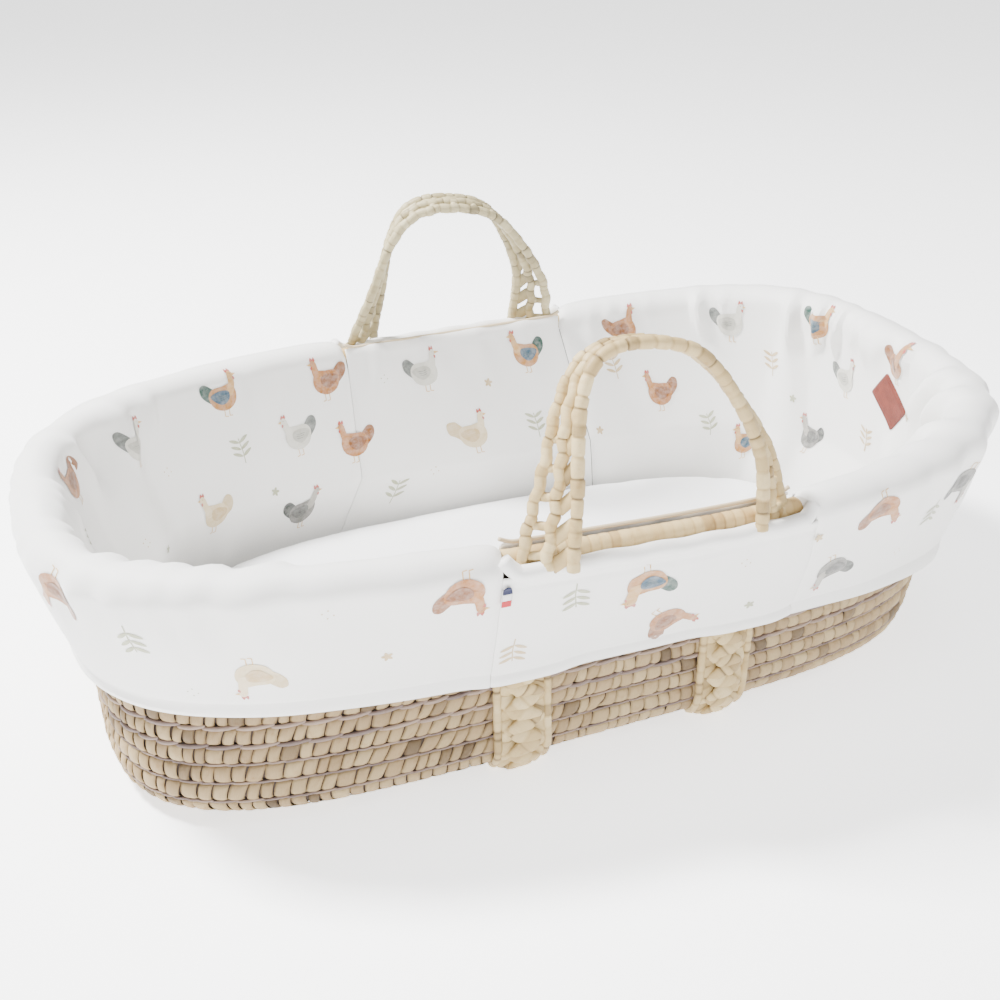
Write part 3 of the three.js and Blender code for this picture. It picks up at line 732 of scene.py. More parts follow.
def build_strap(name, x, node, seed):
    """A flat three-strand braid of wrapped straw."""
    rng = random.Random(seed)
    spine = smooth_path(strap_route(x), 900)
    run = np.concatenate([[0], np.cumsum(np.linalg.norm(np.diff(spine, axis=0), axis=1))])
    side = np.tile([1.0, 0.0, 0.0], (len(spine), 1))
    _, across, out = frames_along(spine, side)
    out *= np.sign((out * (spine - spine.mean(0))).sum(1))[:, None]
    period = 0.066
    work = Patchwork()
    for strand in range(3):
        phase = TAU * run / period + TAU * strand / 3
        sway = 0.0145 * np.sin(phase)
        depth = 0.0034 * np.cos(2 * phase)
        path = spine + across * sway[:, None] + out * depth[:, None]
        wrapped_cord(work, rng, path, 0.0084, across, pitch=0.009, sides=14, flat=0.50, ridge=0.20, step=0.0016)
    # a thin edge cord at each side keeps the braid's border straight
    for edge in (-1, 1):
        path = spine + across * (edge * 0.0215)
        wrapped_cord(work, rng, path, 0.0036, across, pitch=0.010, sides=8, flat=0.85, step=0.0025)
    for points in work.points:
        under = np.abs(points[:, 1]) < 0.168
        ceiling = np.where(under, BASE_Z - 0.0002, np.inf)
        points[:, 2] = np.clip(points[:, 2], 0.0002, ceiling)
    strap = build_cords(work, name, STRAW)
    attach(strap, "basket")
    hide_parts(node)


# The band's middle line in its leaning plane: x along the basket and h up the plane from the pivot.
HANDLE_LEAN = math.radians(14.5)
ARCH = [(-0.069, -0.016), (-0.067, 0.0), (-0.056, 0.042), (-0.042, 0.101), (-0.023, 0.131), (0.011, 0.138),
        (0.056, 0.126), (0.088, 0.090), (0.112, 0.042), (0.117, 0.0), (0.117, -0.016)]
TWIST = [(-0.016, 30), (0.0, 36), (0.027, 43), (0.086, 62), (0.123, 80), (0.138, 90)]
SPREAD = [(-0.016, 0.0185), (0.0, 0.0185), (0.030, 0.0165), (0.060, 0.0135), (0.100, 0.0115), (0.140, 0.0105)]


def handle_frame(side):
    """Spine of a handle's band, its direction across, and the spread of its cords, from foot to foot."""
    flat = smooth_path(ARCH, 640)
    x, h = flat[:, 0], flat[:, 1]
    crown = int(np.argmax(h))
    twist = np.radians(np.interp(h, *zip(*TWIST)))
    spread = np.interp(h, *zip(*SPREAD))
    way = np.where(np.arange(len(x)) <= crown, 1.0, -1.0)
    width = np.stack([way * np.cos(twist), side * np.sin(twist), 0 * x], -1)
    width[:, 0] = np.convolve(np.pad(width[:, 0], 20, "edge"), np.ones(41) / 41, "valid")
    local = np.stack([x, 0 * x, h], -1)
    tangent = np.gradient(local, axis=0)
    tangent /= np.linalg.norm(tangent, axis=1)[:, None]
    width -= (width * tangent).sum(1)[:, None] * tangent
    width /= np.linalg.norm(width, axis=1)[:, None]
    c, n = math.cos(HANDLE_LEAN), side * math.sin(HANDLE_LEAN)
    turn = np.array([[1, 0, 0], [0, c, -n], [0, n, c]])
    spine = local @ turn.T + np.array([0, side * HANDLE_Y, PIVOT_Z])
    return spine, width @ turn.T, spread


def build_handle(body, side, material, seed):
    """Ladder braid: an outer, a middle and a thicker inner cord, joined by rungs and slanted links."""
    rng = random.Random(seed)
    spine, width, spread = handle_frame(side)
    run = np.concatenate([[0], np.cumsum(np.linalg.norm(np.diff(spine, axis=0), axis=1))])
    tangent, _, out = frames_along(spine, width)
    length = run[-1]
    cell = 0.0205
    count = round(length / cell)
    cell = length / count
    wave = np.sin(TAU * run / cell)
    outer = spine - width * (spread - 0.0004)[:, None] - width * (0.0009 * wave)[:, None]
    middle = spine + width * (0.0011 * np.sin(TAU * run / cell + 1.2))[:, None] + out * 0.0003
    inner = spine + width * spread[:, None]
    work = Patchwork()
    wrapped_cord(work, rng, outer, 0.0044, width, pitch=0.0085, ridge=0.24)
    wrapped_cord(work, rng, middle, 0.0046, width, pitch=0.0085, ridge=0.24)
    wrapped_cord(work, rng, inner, 0.0049, width, pitch=0.0115, ridge=0.26)

    def at(line, s):
        return np.array([np.interp(s, run, line[:, k]) for k in range(3)])

    for k in range(count):
        s = (k + 0.5) * cell
        start, stop = at(outer, s - 0.001), at(middle, s + 0.001)
        normal = at(out, s)
        bow = np.linspace(0, 1, 9)[:, None]
        rung = start + (stop - start) * bow + normal * 0.0011 * np.sin(math.pi * bow)
        wrapped_cord(work, rng, rung, 0.0033, np.tile(at(tangent, s), (9, 1)), pitch=0.004, sides=10, flat=0.85)
        # a broad folded leaf from the middle cord slants up to the inner cord
        low, high = s - 0.42 * cell, s + 0.38 * cell
        start, stop = at(middle, low), at(inner, high)
        link = start + (stop - start) * bow + normal * 0.0012 * np.sin(math.pi * bow)
        facing = np.tile(at(tangent, s), (9, 1))
        wrapped_cord(work, rng, link, 0.0052, facing, pitch=0.03, sides=10, flat=0.45, ridge=0.05)
    handle = build_cords(work, body + "_braid", material)
    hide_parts(*(f"{body}_{cord}_cord" for cord in ("outer", "middle", "inner")))
    low = (0, side * HANDLE_Y, PIVOT_Z - 0.010)
    high = (0, side * HANDLE_Y, PIVOT_Z + 0.012)
    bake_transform(handle)
    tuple(low)
    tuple(high)


# ---- liner -----------------------------------------------------------------------------------------------------
LINER_FOOT_V = 0.052
FOOT_END_DRAPE = 0.030
SKIRT_OFFSET = (0.011, 0.020)


class LinerMap:
    """Places on the liner's showing face, in metres. s runs along the rim from the head end, anticlockwise from
    above; w runs over the fabric: 0 at the rim's top, positive down the inside, negative down the outside."""

    def __init__(self):
        self.table, self.length = even_angles(0, TAU, 4001)
        self.marks = np.linspace(0, self.length, 4001)

    def angle(self, s):
        return np.interp(np.mod(s, self.length), self.marks, self.table)

    def arc(self, t):
        return np.interp(np.mod(t, TAU), self.table, self.marks)


LINER = LinerMap()
ROLL_QUARTER = ROLL_RADIUS * math.pi / 2
LIP_W = 0.015
LABEL_AT = (-0.034, 0.076)


def end_weight(t):
    """0 along the straight sides and 1 around the two ends."""
    return np.clip((np.abs(along_x(t)) - 0.45) / 0.4, 0, 1)


def gathers(s, w, seed):
    """Soft gathers: ridges of uneven spacing that run down the fabric and wander a little."""
    wander = 0.012 * noise.noise(Vector((s * 9, w * 11, seed)))
    ridge = noise.noise(Vector(((s + wander) * 46, w * 3.2, seed + 3.0)))
    broad = noise.noise(Vector(((s + wander) * 15, w * 4.0, seed + 8.0)))
    return ridge, broad


def fold_depth(s, w, t):
    """How far the padded fabric stands out of its smooth shape."""
    ridge, broad = gathers(s, w, 1.7)
    ends = float(end_weight(t))
    inside = w > 0
    reach = abs(w)
    near_rim = math.exp(-((reach - 0.040) / 0.028) ** 2)
    # the fabric lies flat round the leather label
    from_label = math.hypot((s - LABEL_AT[0] + 0.5) % LINER.length - 0.5, w - LABEL_AT[1])
    flat = 1 - math.exp(-((from_label / 0.045) ** 4))
    if inside:
        pucker = (0.0060 + 0.0190 * ends) * near_rim * ridge
        swell = (0.0080 + 0.0200 * ends) * broad * min(1.0, reach / 0.05)
    else:
        pucker = (0.0020 + 0.0050 * ends) * near_rim * ridge
        swell = 0.0040 * broad * min(1.0, reach / 0.06)
    depth = flat * (pucker + swell)
    if inside:
        # the fabric can't sink into the palm behind it
        depth = 0.5 * (depth + math.sqrt(depth**2 + 0.0016**2)) - 0.0006
    return depth


def liner_point(s, w, extra=0.0):
    """The showing face of the liner. extra lifts the point off the fabric."""
    t = float(LINER.angle(s))
    u = float(along_x(t))
    fold = fold_depth(s, w, t) + extra
    rim = float(rim_z(t))
    if abs(w) <= ROLL_QUARTER:
        angle = math.pi / 2 + w / ROLL_RADIUS
        radius = ROLL_RADIUS + fold
        return rim_point(t, radius * math.sin(angle), ROLL_OFFSET + radius * math.cos(angle))
    if w > 0:
        foot_z = BASE_Z + LINER_FOOT_V * (rim - BASE_Z)
        f = (w - ROLL_QUARTER) / (rim - foot_z)
        v = 1 - f * (1 - LINER_FOOT_V)
        drape = FOOT_END_DRAPE * max(0.0, -u) ** 3 * (1 - v)
        offset = -0.0135 - 0.0025 * v - drape
        edge = np.clip((1.0 - f) / 0.08, 0, 1)
        return wall_point(t, rim + (foot_z - rim) * f, offset - fold * edge)
    drop = rim - float(hem_z(t))
    f = min(1.0, (-w - ROLL_QUARTER) / drop)
    offset = SKIRT_OFFSET[1] + (SKIRT_OFFSET[0] - SKIRT_OFFSET[1]) * f
    offset += 0.0022 * math.sin(math.pi * min(1, f * 1.1)) ** 2
    # the skirt bulges over the straps
    strap = max(math.exp(-(((float(outline(t, 0.6, 0)[0]) - x) / 0.038) ** 4)) for x in STRAP_X)
    hem = 0.0016 * np.clip((f - 0.92) / 0.03, 0, 1) - 0.0022 * math.exp(-(((f - 0.905) / 0.020) ** 2))
    # a seam runs along under the rolled lip of each slot
    if SLOT_X[0] < float(outline(t, 1.0, 0)[0]) < SLOT_X[1]:
        hem -= 0.0016 * math.exp(-(((drop * f - 0.0125) / 0.0020) ** 2))
    return wall_point(t, rim - drop * f, offset + fold * (1 - 0.55 * f) + 0.0062 * strap * f**1.5 + hem)


def w_range(t, part):
    """The w of the fabric's edges for a part of the liner at angle t."""
    rim = float(rim_z(t))
    bottom = ROLL_QUARTER + (rim - BASE_Z) * (1 - LINER_FOOT_V)
    hem = -ROLL_QUARTER - (rim - float(hem_z(t)))
    if part == "whole":
        return bottom, hem
    if part == "wall":
        return bottom, LIP_W
    return -ROLL_QUARTER - 0.003, hem


def build_panel(name, node, start, stop, part, rows):
    """A padded panel between two angles: the showing face is gridded and thickened towards the basket."""
    count = int((stop - start) / PANEL_STEP)
    edge = [0.0, 0.0012, 0.0028]
    marks = [start + e for e in edge] + [start + (stop - start) * k / count for k in range(1, count)]
    marks += [stop - e for e in reversed(edge)]
    if part == "whole":
        # a flange closes the roll where a handle slot begins
        marks = [start] + marks + [stop]
    columns = len(marks)
    points, uvs = [], []
    for i, s in enumerate(marks):
        top, bottom = w_range(LINER.angle(s), part)
        flange = part == "whole" and i in (0, columns - 1)
        # the edges of a panel are sewn down, so they pull in
        reach = min(s - start, stop - s)
        seam = 0.0016 * math.exp(-((reach / 0.0030) ** 2))
        for j in range(rows):
            w = top + (bottom - top) * j / (rows - 1)
            roll = math.exp(-((w / 0.030) ** 4)) if part == "whole" else 0.0
            corner = 0.0050 * roll * math.exp(-reach / 0.008)
            sink = seam + corner + ((0.0100 * roll + 0.0030) if flange else 0.0)
            points.append(liner_point(s, w, -sink))
            uvs.append((s, w))
    panel = add_object(name, points, grid_faces(columns, rows), COTTON, True, uvs)
    panel.data.flip_normals()
    thicken(panel, PANEL_THICKNESS, "padding")
    bevel = panel.modifiers.new("soft_edge", "BEVEL")
    bevel.width = 0.0010
    bevel.segments = 2
    bevel.limit_method = "ANGLE"
    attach(panel, "basket")
    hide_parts(node)


def build_liner():
    left, right = LINER.arc(angle_at(SLOT_X[0])), LINER.arc(angle_at(SLOT_X[1]))
    full = LINER.length
    gap = 0.0001
    build_panel("liner_foot", "liner_foot_end", left + gap, full - left - gap, "whole", 92)
    build_panel("liner_head", "liner_head_end", -right + gap, right - gap, "whole", 92)
    build_panel("liner_back_inside", "liner_back_wall", right + gap, left - gap, "wall", 56)
    build_panel("liner_front_inside", "liner_front_wall", full - left + gap, full - right - gap, "wall", 56)
    build_panel("liner_back_outside", "liner_back_skirt", right + gap, left - gap, "skirt", 44)
    build_panel("liner_front_outside", "liner_front_skirt", full - left + gap, full - right - gap, "skirt", 44)


def build_slot_trim(side):
    """The rolled outer lip of a handle slot, and a thin tan tube along its inner lip that stands for the shadow
    line there: painted shade.
    """
    full = LINER.length
    left, right = LINER.arc(angle_at(SLOT_X[0])), LINER.arc(angle_at(SLOT_X[1]))
    if side < 0:
        left, right = full - left, full - right
    count = 150
    s = np.linspace(left, right, count)
    t = LINER.angle(s)
    name = "front" if side < 0 else "back"
    f = np.linspace(0, 1, count)
    ends = np.minimum(1, np.minimum(f, 1 - f) / 0.05)
    # both lips rise and close in at the slot's two ends
    closing = (1 - ends) ** 1.5
    path = rim_point(t, 0.0010 + 0.010 * closing - 0.0005, 0.0160 - 0.004 * closing)
    path[:, 2] += 0.0006 * np.sin(s * 160)
    piping = lip_tube(f"piping_{name}", path, 0.0062 * (0.9 + 0.1 * ends), 14, s, 0.002, COTTON)
    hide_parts(f"slot_piping_{name}")
    # a thin tan tube along the inner lip: painted shadow line
    path = rim_point(t, 0.0115 + 0.004 * closing, -0.0105)
    lip_tube(f"slot_painted_shadow_line_{name}", path, np.full(count, 0.0017), 8, s, 0.001, PAINTED_SHADOW_LINE)


def lip_tube(name, path, radii, sides, s, uv_step, material):
    """A closed tube along a lip of a slot; s is the place round the rim of each point of its path."""
    points, faces = tube(path, radii, sides)
    uvs = np.stack([np.repeat(s, sides), np.tile(np.arange(sides) * uv_step, len(path))], -1)
    faces = [tuple(q) for q in faces] + end_caps(len(path), sides)
    lip = add_object(name, points, faces, material, True, uvs)
    fix_normals(lip)
    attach(lip, "basket")
    return lip


def build_liner_floor():
    """The cotton sheet that closes the liner under the mattress."""
    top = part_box("liner_floor")[1].z
    count, rings = 144, 14
    edge = []
    for k in range(count):
        s = LINER.length * k / count
        foot, _ = w_range(LINER.angle(s), "whole")
        edge.append(liner_point(s, foot)[:2])
    edge = np.array(edge)
    centre = (edge.min(0) + edge.max(0)) / 2
    points = [(*centre, top)]
    for ring in range(1, rings + 1):
        for x, y in centre + (edge - centre) * ring / rings:
            points.append((x, y, top + 0.0003 * noise.noise(Vector((x * 30, y * 30, 2.0)))))
    faces = [(0, 1 + k, 1 + (k + 1) % count) for k in range(count)]
    for ring in range(rings - 1):
        a, b = 1 + ring * count, 1 + (ring + 1) * count
        faces += [(a + k, b + k, b + (k + 1) % count, a + (k + 1) % count) for k in range(count)]
    sheet = add_object("liner_base_sheet", points, faces, COTTON, True, [(p[0], p[1]) for p in points])
    thicken(sheet, 0.0012)
    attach(sheet, "basket")
    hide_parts("liner_floor")
    width, length = np.ptp(edge[:, 1]), np.ptp(edge[:, 0])


# ---- print -----------------------------------------------------------------------------------------------------
# Simple farm shapes, facing right, in units of a hen's size.
BODY = [(-0.52, 0.05), (-0.36, 0.30), (0.0, 0.32), (0.34, 0.34), (0.50, 0.02), (0.38, -0.34), (0.0, -0.50),
        (-0.38, -0.34)]
NECK = [(0.10, 0.02), (0.27, 0.38), (0.33, 0.62), (0.44, 0.73), (0.55, 0.66), (0.53, 0.48), (0.48, 0.22),
        (0.36, -0.05)]
TAIL = [(-0.24, 0.16), (-0.40, 0.40), (-0.58, 0.54), (-0.76, 0.46), (-0.76, 0.18), (-0.56, -0.08), (-0.34, -0.20)]
WING = [(-0.46, 0.10), (-0.14, 0.20), (0.18, 0.14), (0.20, -0.10), (-0.06, -0.28), (-0.32, -0.14)]
COMB = [(0.34, 0.71), (0.37, 0.84), (0.43, 0.77), (0.49, 0.84), (0.54, 0.71), (0.44, 0.67)]
BEAK = [(0.54, 0.65), (0.68, 0.60), (0.55, 0.55)]
WATTLE = [(0.50, 0.53), (0.56, 0.50), (0.54, 0.41), (0.49, 0.46)]
LEAF = [(0.0, 0.0), (0.10, 0.06), (0.26, 0.05), (0.34, 0.0), (0.24, -0.05), (0.10, -0.05)]
# body, neck, wing and tail colours of each kind of bird
BIRDS = {
    "white": [(0.56, 0.545, 0.48), (0.60, 0.58, 0.51), (0.40, 0.39, 0.34), (0.11, 0.12, 0.11)],
    "cream": [(0.62, 0.50, 0.30), (0.66, 0.54, 0.35), (0.50, 0.36, 0.18), (0.54, 0.42, 0.24)],
    "tan": [(0.36, 0.135, 0.028), (0.40, 0.165, 0.04), (0.20, 0.065, 0.012), (0.22, 0.075, 0.015)],
    "rooster": [(0.40, 0.175, 0.04), (0.50, 0.28, 0.09), (0.03, 0.075, 0.12), (0.008, 0.05, 0.036)],
    "grey": [(0.17, 0.165, 0.15), (0.34, 0.32, 0.28), (0.08, 0.08, 0.075), (0.05, 0.055, 0.05)],
}
RED, OCHRE, INK = (0.42, 0.06, 0.04), (0.62, 0.38, 0.12), (0.06, 0.05, 0.05)
SAGE, SAND = (0.36, 0.37, 0.24), (0.52, 0.38, 0.20)


class Print:
    """Flat inked shapes laid on the liner, upright inside the basket."""

    def __init__(self):
        self.points, self.faces, self.uvs, self.inks = [], [], [], []

    def shape(self, knots, colour, where, level, sharp=False):
        s, w, size, turn, flip = where
        ring = np.asarray(knots, float)
        if not sharp:
            curve = [ring]
            before, after, beyond = np.roll(ring, 1, 0), np.roll(ring, -1, 0), np.roll(ring, -2, 0)
            for f in (0.34, 0.67):
                square, cube = 2 * before - 5 * ring + 4 * after - beyond, 3 * ring - before - 3 * after + beyond
                curve.append(0.5 * (2 * ring + (after - before) * f + square * f**2 + cube * f**3))
            ring = np.stack(curve, 1).reshape(-1, 2)
        centre = ring.mean(0)
        count, start = len(ring), len(self.points)
        local = [centre] + [centre + (p - centre) * f for f in (0.33, 0.67, 1.0) for p in ring]
        for x, y in local:
            x *= flip
            across, up = x * math.cos(turn) - y * math.sin(turn), x * math.sin(turn) + y * math.cos(turn)
            at_s, at_w = s - across * size, w - up * size
            self.points.append(liner_point(at_s, at_w, 0.00040 + 0.00022 * level))
            self.uvs.append((at_s, at_w))
            self.inks.append((*colour, 1.0))
        for k in range(count):
            m = (k + 1) % count
            quad = [start, start + 1 + k, start + 1 + m]
            self.faces.append(quad)
            for band in range(2):
                a, b = start + 1 + band * count, start + 1 + (band + 1) * count
                self.faces.append([a + k, b + k, b + m, a + m])

    def stroke(self, path, width, colour, where, level):
        for (x0, y0), (x1, y1) in zip(path, path[1:]):
            dx, dy = x1 - x0, y1 - y0
            run = math.hypot(dx, dy)
            nx, ny = -dy / run * width / 2, dx / run * width / 2
            knots = [(x0 + nx, y0 + ny), (x1 + nx, y1 + ny), (x1 - nx, y1 - ny), (x0 - nx, y0 - ny)]
            self.shape(knots, colour, where, level, sharp=True)

    def bird(self, kind, where):
        body, neck, wing, tail = BIRDS[kind]
        for x in (-0.06, 0.10):
            self.stroke([(x, -0.40), (x - 0.02, -0.70), (x + 0.09, -0.72)], 0.028, OCHRE, where, 0)
        self.shape(TAIL, tail, where, 0)
        self.shape(BODY, body, where, 1)
        self.shape(NECK, neck, where, 2)
        self.shape(WING, wing, where, 3)
        self.shape(BEAK, OCHRE, where, 1, sharp=True)
        self.shape(COMB, RED, where, 1)
        self.shape(WATTLE, RED, where, 3)
        self.stroke([(0.455, 0.63), (0.475, 0.63)], 0.022, INK, where, 3)
        for k in range(3):
            y = 0.06 - 0.07 * k
            self.stroke([(-0.26 + 0.05 * k, y - 0.02), (-0.06, y - 0.035), (0.08, y)], 0.014, tail, where, 4)

    def sprig(self, where, colour):
        self.stroke([(0.0, -0.5), (0.03, -0.1), (0.0, 0.35)], 0.03, colour, where, 0)
        for y in (-0.25, -0.02, 0.2):
            for way in (-1, 1):
                leaf = [(way * x, y + 0.5 * x + d) for x, d in LEAF]
                self.shape(leaf, colour, where, 0)

    def flower(self, where, colour):
        for k in range(5):
            a = k * TAU / 5
            c, n = math.cos(a), math.sin(a)
            petal = [(c * x - n * y * 1.6, n * x + c * y * 1.6) for x, y in LEAF]
            self.shape(petal, colour, where, 0)

    def dots(self, where, colour):
        for x, y in ((-0.3, 0.1), (0.0, 0.28), (0.25, -0.05), (-0.05, -0.25)):
            ring = [(x + 0.05 * math.cos(a), y + 0.05 * math.sin(a)) for a in np.arange(6) * TAU / 6]
            self.shape(ring, colour, where, 0, sharp=True)

    def build(self, name):
        printed = add_object(name, self.points, self.faces, INKS, True, self.uvs)
        inks = printed.data.attributes.new("ink", "FLOAT_COLOR", "POINT")
        inks.data.foreach_set("color", np.array(self.inks).ravel())
        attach(printed, "basket")


# Where each shape sits: metres round the rim from the head end, metres down from the rim (inside +, outside -),
# turn in degrees and facing.
PRINTED = [
    ("white", 0.895, 0.050, -8, 1), ("white", 0.710, 0.090, 5, -1), ("white", 0.565, 0.050, 4, 1),
    ("white", 0.206, 0.045, -4, 1), ("white", 0.046, 0.080, 6, 1), ("cream", 0.817, 0.145, 0, -1),
    ("cream", 0.530, 0.118, 4, 1), ("cream", 1.330, -0.095, 3, 1), ("tan", 0.650, 0.108, 0, -1),
    ("tan", 0.303, 0.110, -5, -1), ("tan", 0.328, 0.040, 8, 1), ("tan", -0.042, 0.035, 6, 1),
    ("tan", 0.672, 0.042, 0, -1), ("tan", 0.993, 0.045, 10, -1), ("tan", 1.478, -0.038, 0, -1),
    ("tan", -0.341, -0.040, 8, -1), ("tan", 1.187, -0.036, -12, 1), ("tan", 1.633, -0.112, 40, -1),
    ("rooster", 0.783, 0.036, 4, 1), ("rooster", 0.448, 0.048, -4, -1), ("rooster", 0.093, 0.034, 0, 1),
    ("rooster", 0.198, 0.175, 8, -1), ("rooster", 1.612, -0.060, 5, 1), ("grey", 0.707, 0.168, 10, 1),
    ("grey", 0.105, 0.160, -6, -1), ("grey", -0.374, -0.100, 12, 1), ("grey", -0.236, -0.060, -20, -1),
    ("cream", 1.560, 0.070, 0, 1), ("tan", 1.660, 0.130, 4, -1), ("white", 1.400, 0.110, -6, 1),
    ("grey", 1.270, 0.060, 5, -1), ("tan", 1.100, 0.110, 0, 1), ("cream", -0.200, 0.100, 4, 1),
    ("rooster", -0.330, 0.060, 0, -1), ("white", 0.550, -0.060, 6, 1), ("tan", 0.420, -0.110, -4, 1),
    ("rooster", 0.680, -0.060, 0, -1), ("cream", 0.280, -0.050, 5, 1), ("grey", 0.830, -0.100, 0, 1),
    ("white", 0.950, -0.050, -5, -1), ("tan", 0.120, -0.080, 8, 1), ("cream", 0.0, -0.050, 0, -1),
    ("white", -0.130, -0.100, 6, 1), ("cream", 1.060, -0.100, 0, 1),
]
TWIGS = [
    ("sprig", 0.774, 0.090, 8), ("dots", 1.385, -0.040, 0), ("sprig", 0.605, 0.165, -6),
    ("dots", 0.938, 0.130, 0), ("sprig", 0.459, 0.120, 0), ("flower", 0.387, 0.138, 0),
    ("sprig", 0.250, 0.150, 10), ("sprig", 1.519, -0.108, 0), ("sprig", 1.560, -0.060, 5),
    ("dots", 1.690, -0.060, 0), ("flower", 1.700, -0.115, 0), ("dots", -0.300, -0.110, 0),
    ("sprig", -0.273, -0.075, -8), ("sprig", 0.160, 0.085, 0), ("flower", 0.745, 0.140, 0),
    ("dots", 0.860, 0.090, 0), ("sprig", 1.250, -0.060, 6), ("flower", 1.425, -0.090, 0),
    ("dots", 0.610, 0.050, 0), ("flower", 0.500, 0.070, 0), ("dots", 0.255, 0.070, 0),
    ("sprig", 0.000, 0.130, 0), ("flower", 0.130, 0.120, 0), ("dots", 0.570, 0.150, 0),
    ("sprig", 1.050, 0.070, 5), ("flower", 1.330, 0.100, 0), ("sprig", 1.480, 0.090, 0),
    ("dots", 1.620, 0.070, 0), ("sprig", 0.480, -0.060, 0), ("flower", 0.610, -0.110, 0),
    ("dots", 0.760, -0.060, 0), ("sprig", 0.350, -0.080, 5), ("flower", 0.200, -0.100, 0),
    ("sprig", 0.900, -0.110, 0), ("dots", 0.060, -0.110, 0), ("flower", -0.070, -0.060, 0),
    ("sprig", 1.120, -0.090, 0), ("flower", -0.120, 0.060, 0), ("sprig", -0.280, 0.120, 0),
    ("sprig", -0.180, -0.050, 0), ("dots", 1.280, -0.110, 0), ("flower", -0.400, -0.050, 0),
    ("flower", 0.905, 0.150, 0), ("sprig", 0.350, 0.075, 4),
]
BIRD_SIZE = 0.0285


def build_print():
    work = Print()
    for kind, s, w, turn, flip in PRINTED:
        work.bird(kind, (s, w, BIRD_SIZE, math.radians(turn), flip))
    for number, (kind, s, w, turn) in enumerate(TWIGS):
        colour = (SAGE, SAND)[number % 2]
        size = 0.030 if kind == "sprig" else 0.014
        getattr(work, kind)((s, w, size, math.radians(turn), 1), colour)
    work.build("liner_print")


# ---- mattress --------------------------------------------------------------------------------------------------
def build_mattress():
    """A foam pad in a cotton cover: inflated by cloth simulation from a slightly smaller block."""
    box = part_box("mattress_cover")
    mid = (box[0] + box[1]) / 2
    half = (box[1] - box[0]) / 2
    inset, corner = 0.004, 0.009
    count = 120
    turns = [k / 4 * math.pi / 2 for k in range(5)]
    levels = [(inset + corner * (1 - math.sin(a)), box[0].z + 0.002 + corner * (1 - math.cos(a))) for a in turns]
    levels += [(inset + corner * (1 - math.cos(a)), box[1].z - 0.003 - corner * (1 - math.sin(a))) for a in turns]
    points = []
    for offset, z in levels:
        for k in range(count):
            a = k * TAU / count
            points.append((mid.x + (half.x - offset) * float(signed_power(math.cos(a), 2 / 3)),
                           (half.y - offset) * float(signed_power(math.sin(a), 2 / 3)), z))
    rows = len(levels)
    faces = [(r * count + k, r * count + (k + 1) % count, (r + 1) * count + (k + 1) % count, (r + 1) * count + k)
             for r in range(rows - 1) for k in range(count)]
    faces += [tuple(range(count))[::-1], tuple((rows - 1) * count + k for k in range(count))]
    pad = add_object("mattress_pad", points, faces, MATTRESS)
    remesh = pad.modifiers.new("remesh", "REMESH")
    remesh.mode = "VOXEL"
    remesh.voxel_size = 0.0065
    apply_modifiers(pad)
    inflate(pad, 0.005, box)
    smooth = pad.modifiers.new("subdivide", "SUBSURF")
    smooth.levels = smooth.render_levels = 1
    apply_modifiers(pad)
    pad.data.polygons.foreach_set("use_smooth", [True] * len(pad.data.polygons))
    layer = pad.data.uv_layers.new(name="UVMap")
    for loop in pad.data.loops:
        co = pad.data.vertices[loop.vertex_index].co
        layer.data[loop.index].uv = (co.x, co.y + co.z)
    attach(pad, "mattress")
    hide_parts("mattress_cover", "mattress_core")


def apply_modifiers(obj):
    graph = bpy.context.evaluated_depsgraph_get()
    mesh = bpy.data.meshes.new_from_object(obj.evaluated_get(graph), depsgraph=graph)
    obj.modifiers.clear()
    obj.data = mesh


def inflate(obj, cap, box):
    """Swells a pad with cloth pressure, then limits how far each point has moved and keeps it in its box."""
    rest = np.array([v.co for v in obj.data.vertices])
    cloth = obj.modifiers.new("swell", "CLOTH")
    settings = cloth.settings
    settings.quality = 5
    settings.mass = 0.3
    settings.tension_stiffness = 30
    settings.compression_stiffness = 30
    settings.shear_stiffness = 12
    settings.bending_stiffness = 2
    settings.use_pressure = True
    settings.uniform_pressure_force = 4
    settings.effector_weights.gravity = 0
    cloth.collision_settings.use_self_collision = False
    cloth.point_cache.frame_start = 1
    cloth.point_cache.frame_end = 20
    scene = bpy.context.scene
    for step in range(1, 21):
        scene.frame_set(step)
    apply_modifiers(obj)
    moved = np.array([v.co for v in obj.data.vertices])
    shift = moved - rest
    far = np.linalg.norm(shift, axis=1)
    shift *= (cap * np.tanh(far / cap) / np.maximum(far, 1e-9))[:, None]
    result = rest + shift
    result[:, 2] = np.clip(result[:, 2], box[0].z, box[1].z + 0.002)
    obj.data.vertices.foreach_set("co", result.ravel())
    scene.frame_set(1)


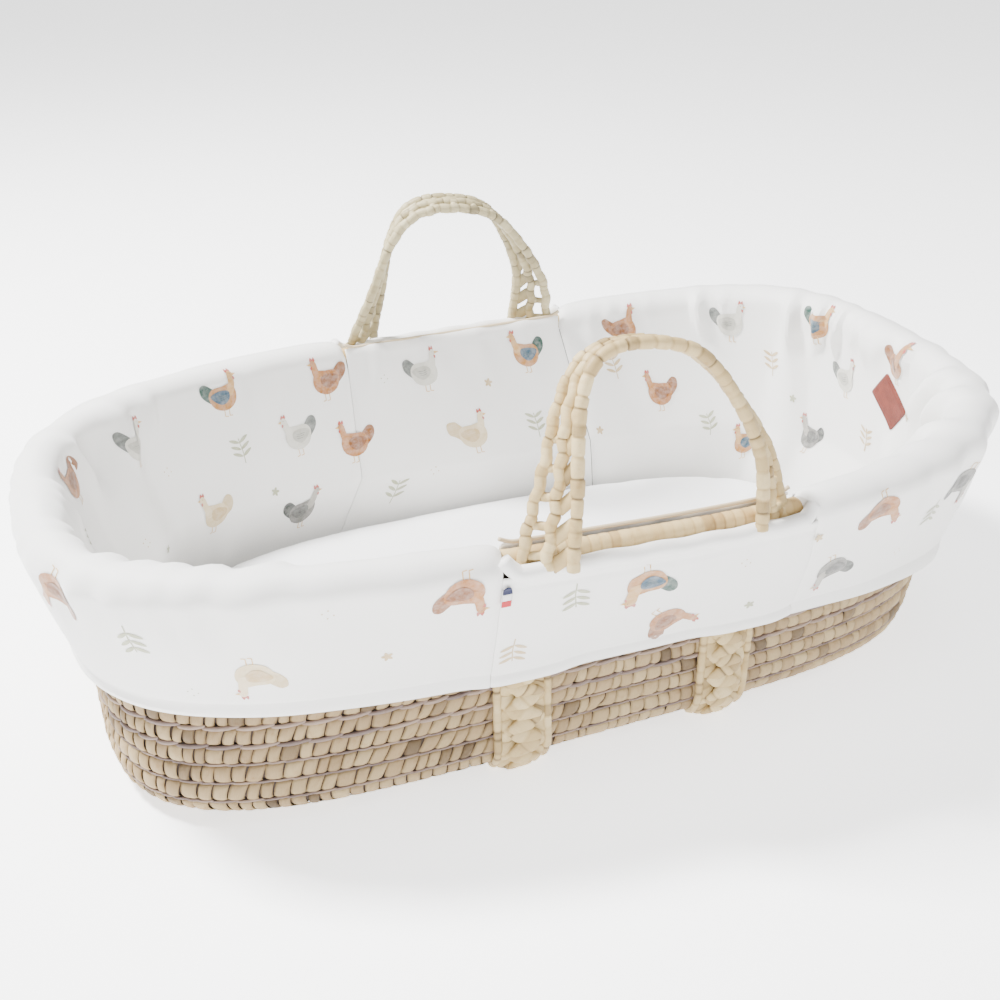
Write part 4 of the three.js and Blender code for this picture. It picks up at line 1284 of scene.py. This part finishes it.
# ---- label and tag ---------------------------------------------------------------------------------------------
def build_label():
    """A blank leather patch with rounded corners, lying on the inside of the head end."""
    length, width, corner = 0.046, 0.035, 0.0035
    tilt = math.radians(37)
    centre = Vector((-0.032, 0.190))
    cells = 26
    points, uvs = [], []
    for i in range(cells):
        for j in range(cells):
            p, q = (i / (cells - 1) - 0.5) * length, (j / (cells - 1) - 0.5) * width
            over_p, over_q = abs(p) - (length / 2 - corner), abs(q) - (width / 2 - corner)
            if over_p > 0 and over_q > 0:
                reach = math.hypot(over_p, over_q)
                shrink = min(1.0, corner / reach) if reach > corner else 1.0
                p = math.copysign(length / 2 - corner + over_p * shrink, p)
                q = math.copysign(width / 2 - corner + over_q * shrink, q)
            edge = min(length / 2 - abs(p), width / 2 - abs(q))
            y = centre.x + p * math.cos(tilt) - q * math.sin(tilt)
            z = centre.y + p * math.sin(tilt) + q * math.cos(tilt)
            raise_ = 0.0016 - 0.0007 * math.exp(-edge / 0.0007)
            groove = 0.00035 * math.exp(-((edge - 0.0028) / 0.0004) ** 2)
            points.append(head_wall_point(y, z, raise_ - groove))
            uvs.append((p, q))
    label = add_object("leather_patch", points, grid_faces(cells, cells), LEATHER, True, uvs)
    if label.data.polygons[0].normal.x > 0:
        label.data.flip_normals()
    thicken(label, 0.0016)
    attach(label, "basket")
    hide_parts("leather_label")


def head_wall_point(y, z, lift):
    """A point on the liner inside the head end, at a given Y and height, by searching along the rim."""
    guess = y
    for _ in range(12):
        t = float(LINER.angle(guess))
        rim = float(rim_z(t))
        w = ROLL_QUARTER + (rim - z)
        point = liner_point(guess, w)
        guess += (y - point[1])
    return point + np.array([-lift, 0, 0])


def build_tag():
    """A folded ribbon tag in three plain bands, caught in the seam of the front skirt."""
    full = LINER.length
    seam = full - LINER.arc(angle_at(SLOT_X[0])) + 0.004
    bands = [("tag_navy", (0.02, 0.025, 0.08), 0.0), ("tag_white", (0.85, 0.85, 0.85), 1.0),
             ("tag_red", (0.55, 0.02, 0.03), 2.0)]
    width, height = 0.0068, 0.0062
    for name, colour, order in bands:
        points, uvs = [], []
        columns, rows = 7, 7
        for i in range(columns):
            for j in range(rows):
                p = (i / (columns - 1) - 0.5) * width
                q = (order + j / (rows - 1)) * height
                narrow = 1.0
                if order == 0:
                    narrow = math.sqrt(max(0.08, 1 - (1 - j / (rows - 1)) ** 2 * 0.9))
                w = -ROLL_QUARTER - 0.009 - q
                points.append(liner_point(seam + p * narrow, w, 0.0030))
                uvs.append((p, q))
        material = ribbon_material(name + "_ribbon", colour)
        band = add_object(name, points, grid_faces(columns, rows), material, True, uvs)
        if band.data.polygons[0].normal.y > 0:
            band.data.flip_normals()
        thicken(band, 0.0009)
        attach(band, "basket")
        if order == 0:
            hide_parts("seam_tag")


# ---- build -----------------------------------------------------------------------------------------------------
for row in range(COURSES):
    build_course(row)
build_sewing()
build_floor()
build_rod()
build_strap("strap_foot", STRAP_X[0], "carry_strap_foot", 11)
build_strap("strap_head", STRAP_X[1], "carry_strap_head", 12)
build_handle("handle_front", -1, STRAW, 21)
build_handle("handle_back", 1, STRAW_GREY, 22)
build_liner()
build_print()
build_slot_trim(-1)
build_slot_trim(1)
build_liner_floor()
build_mattress()
build_label()
build_tag()
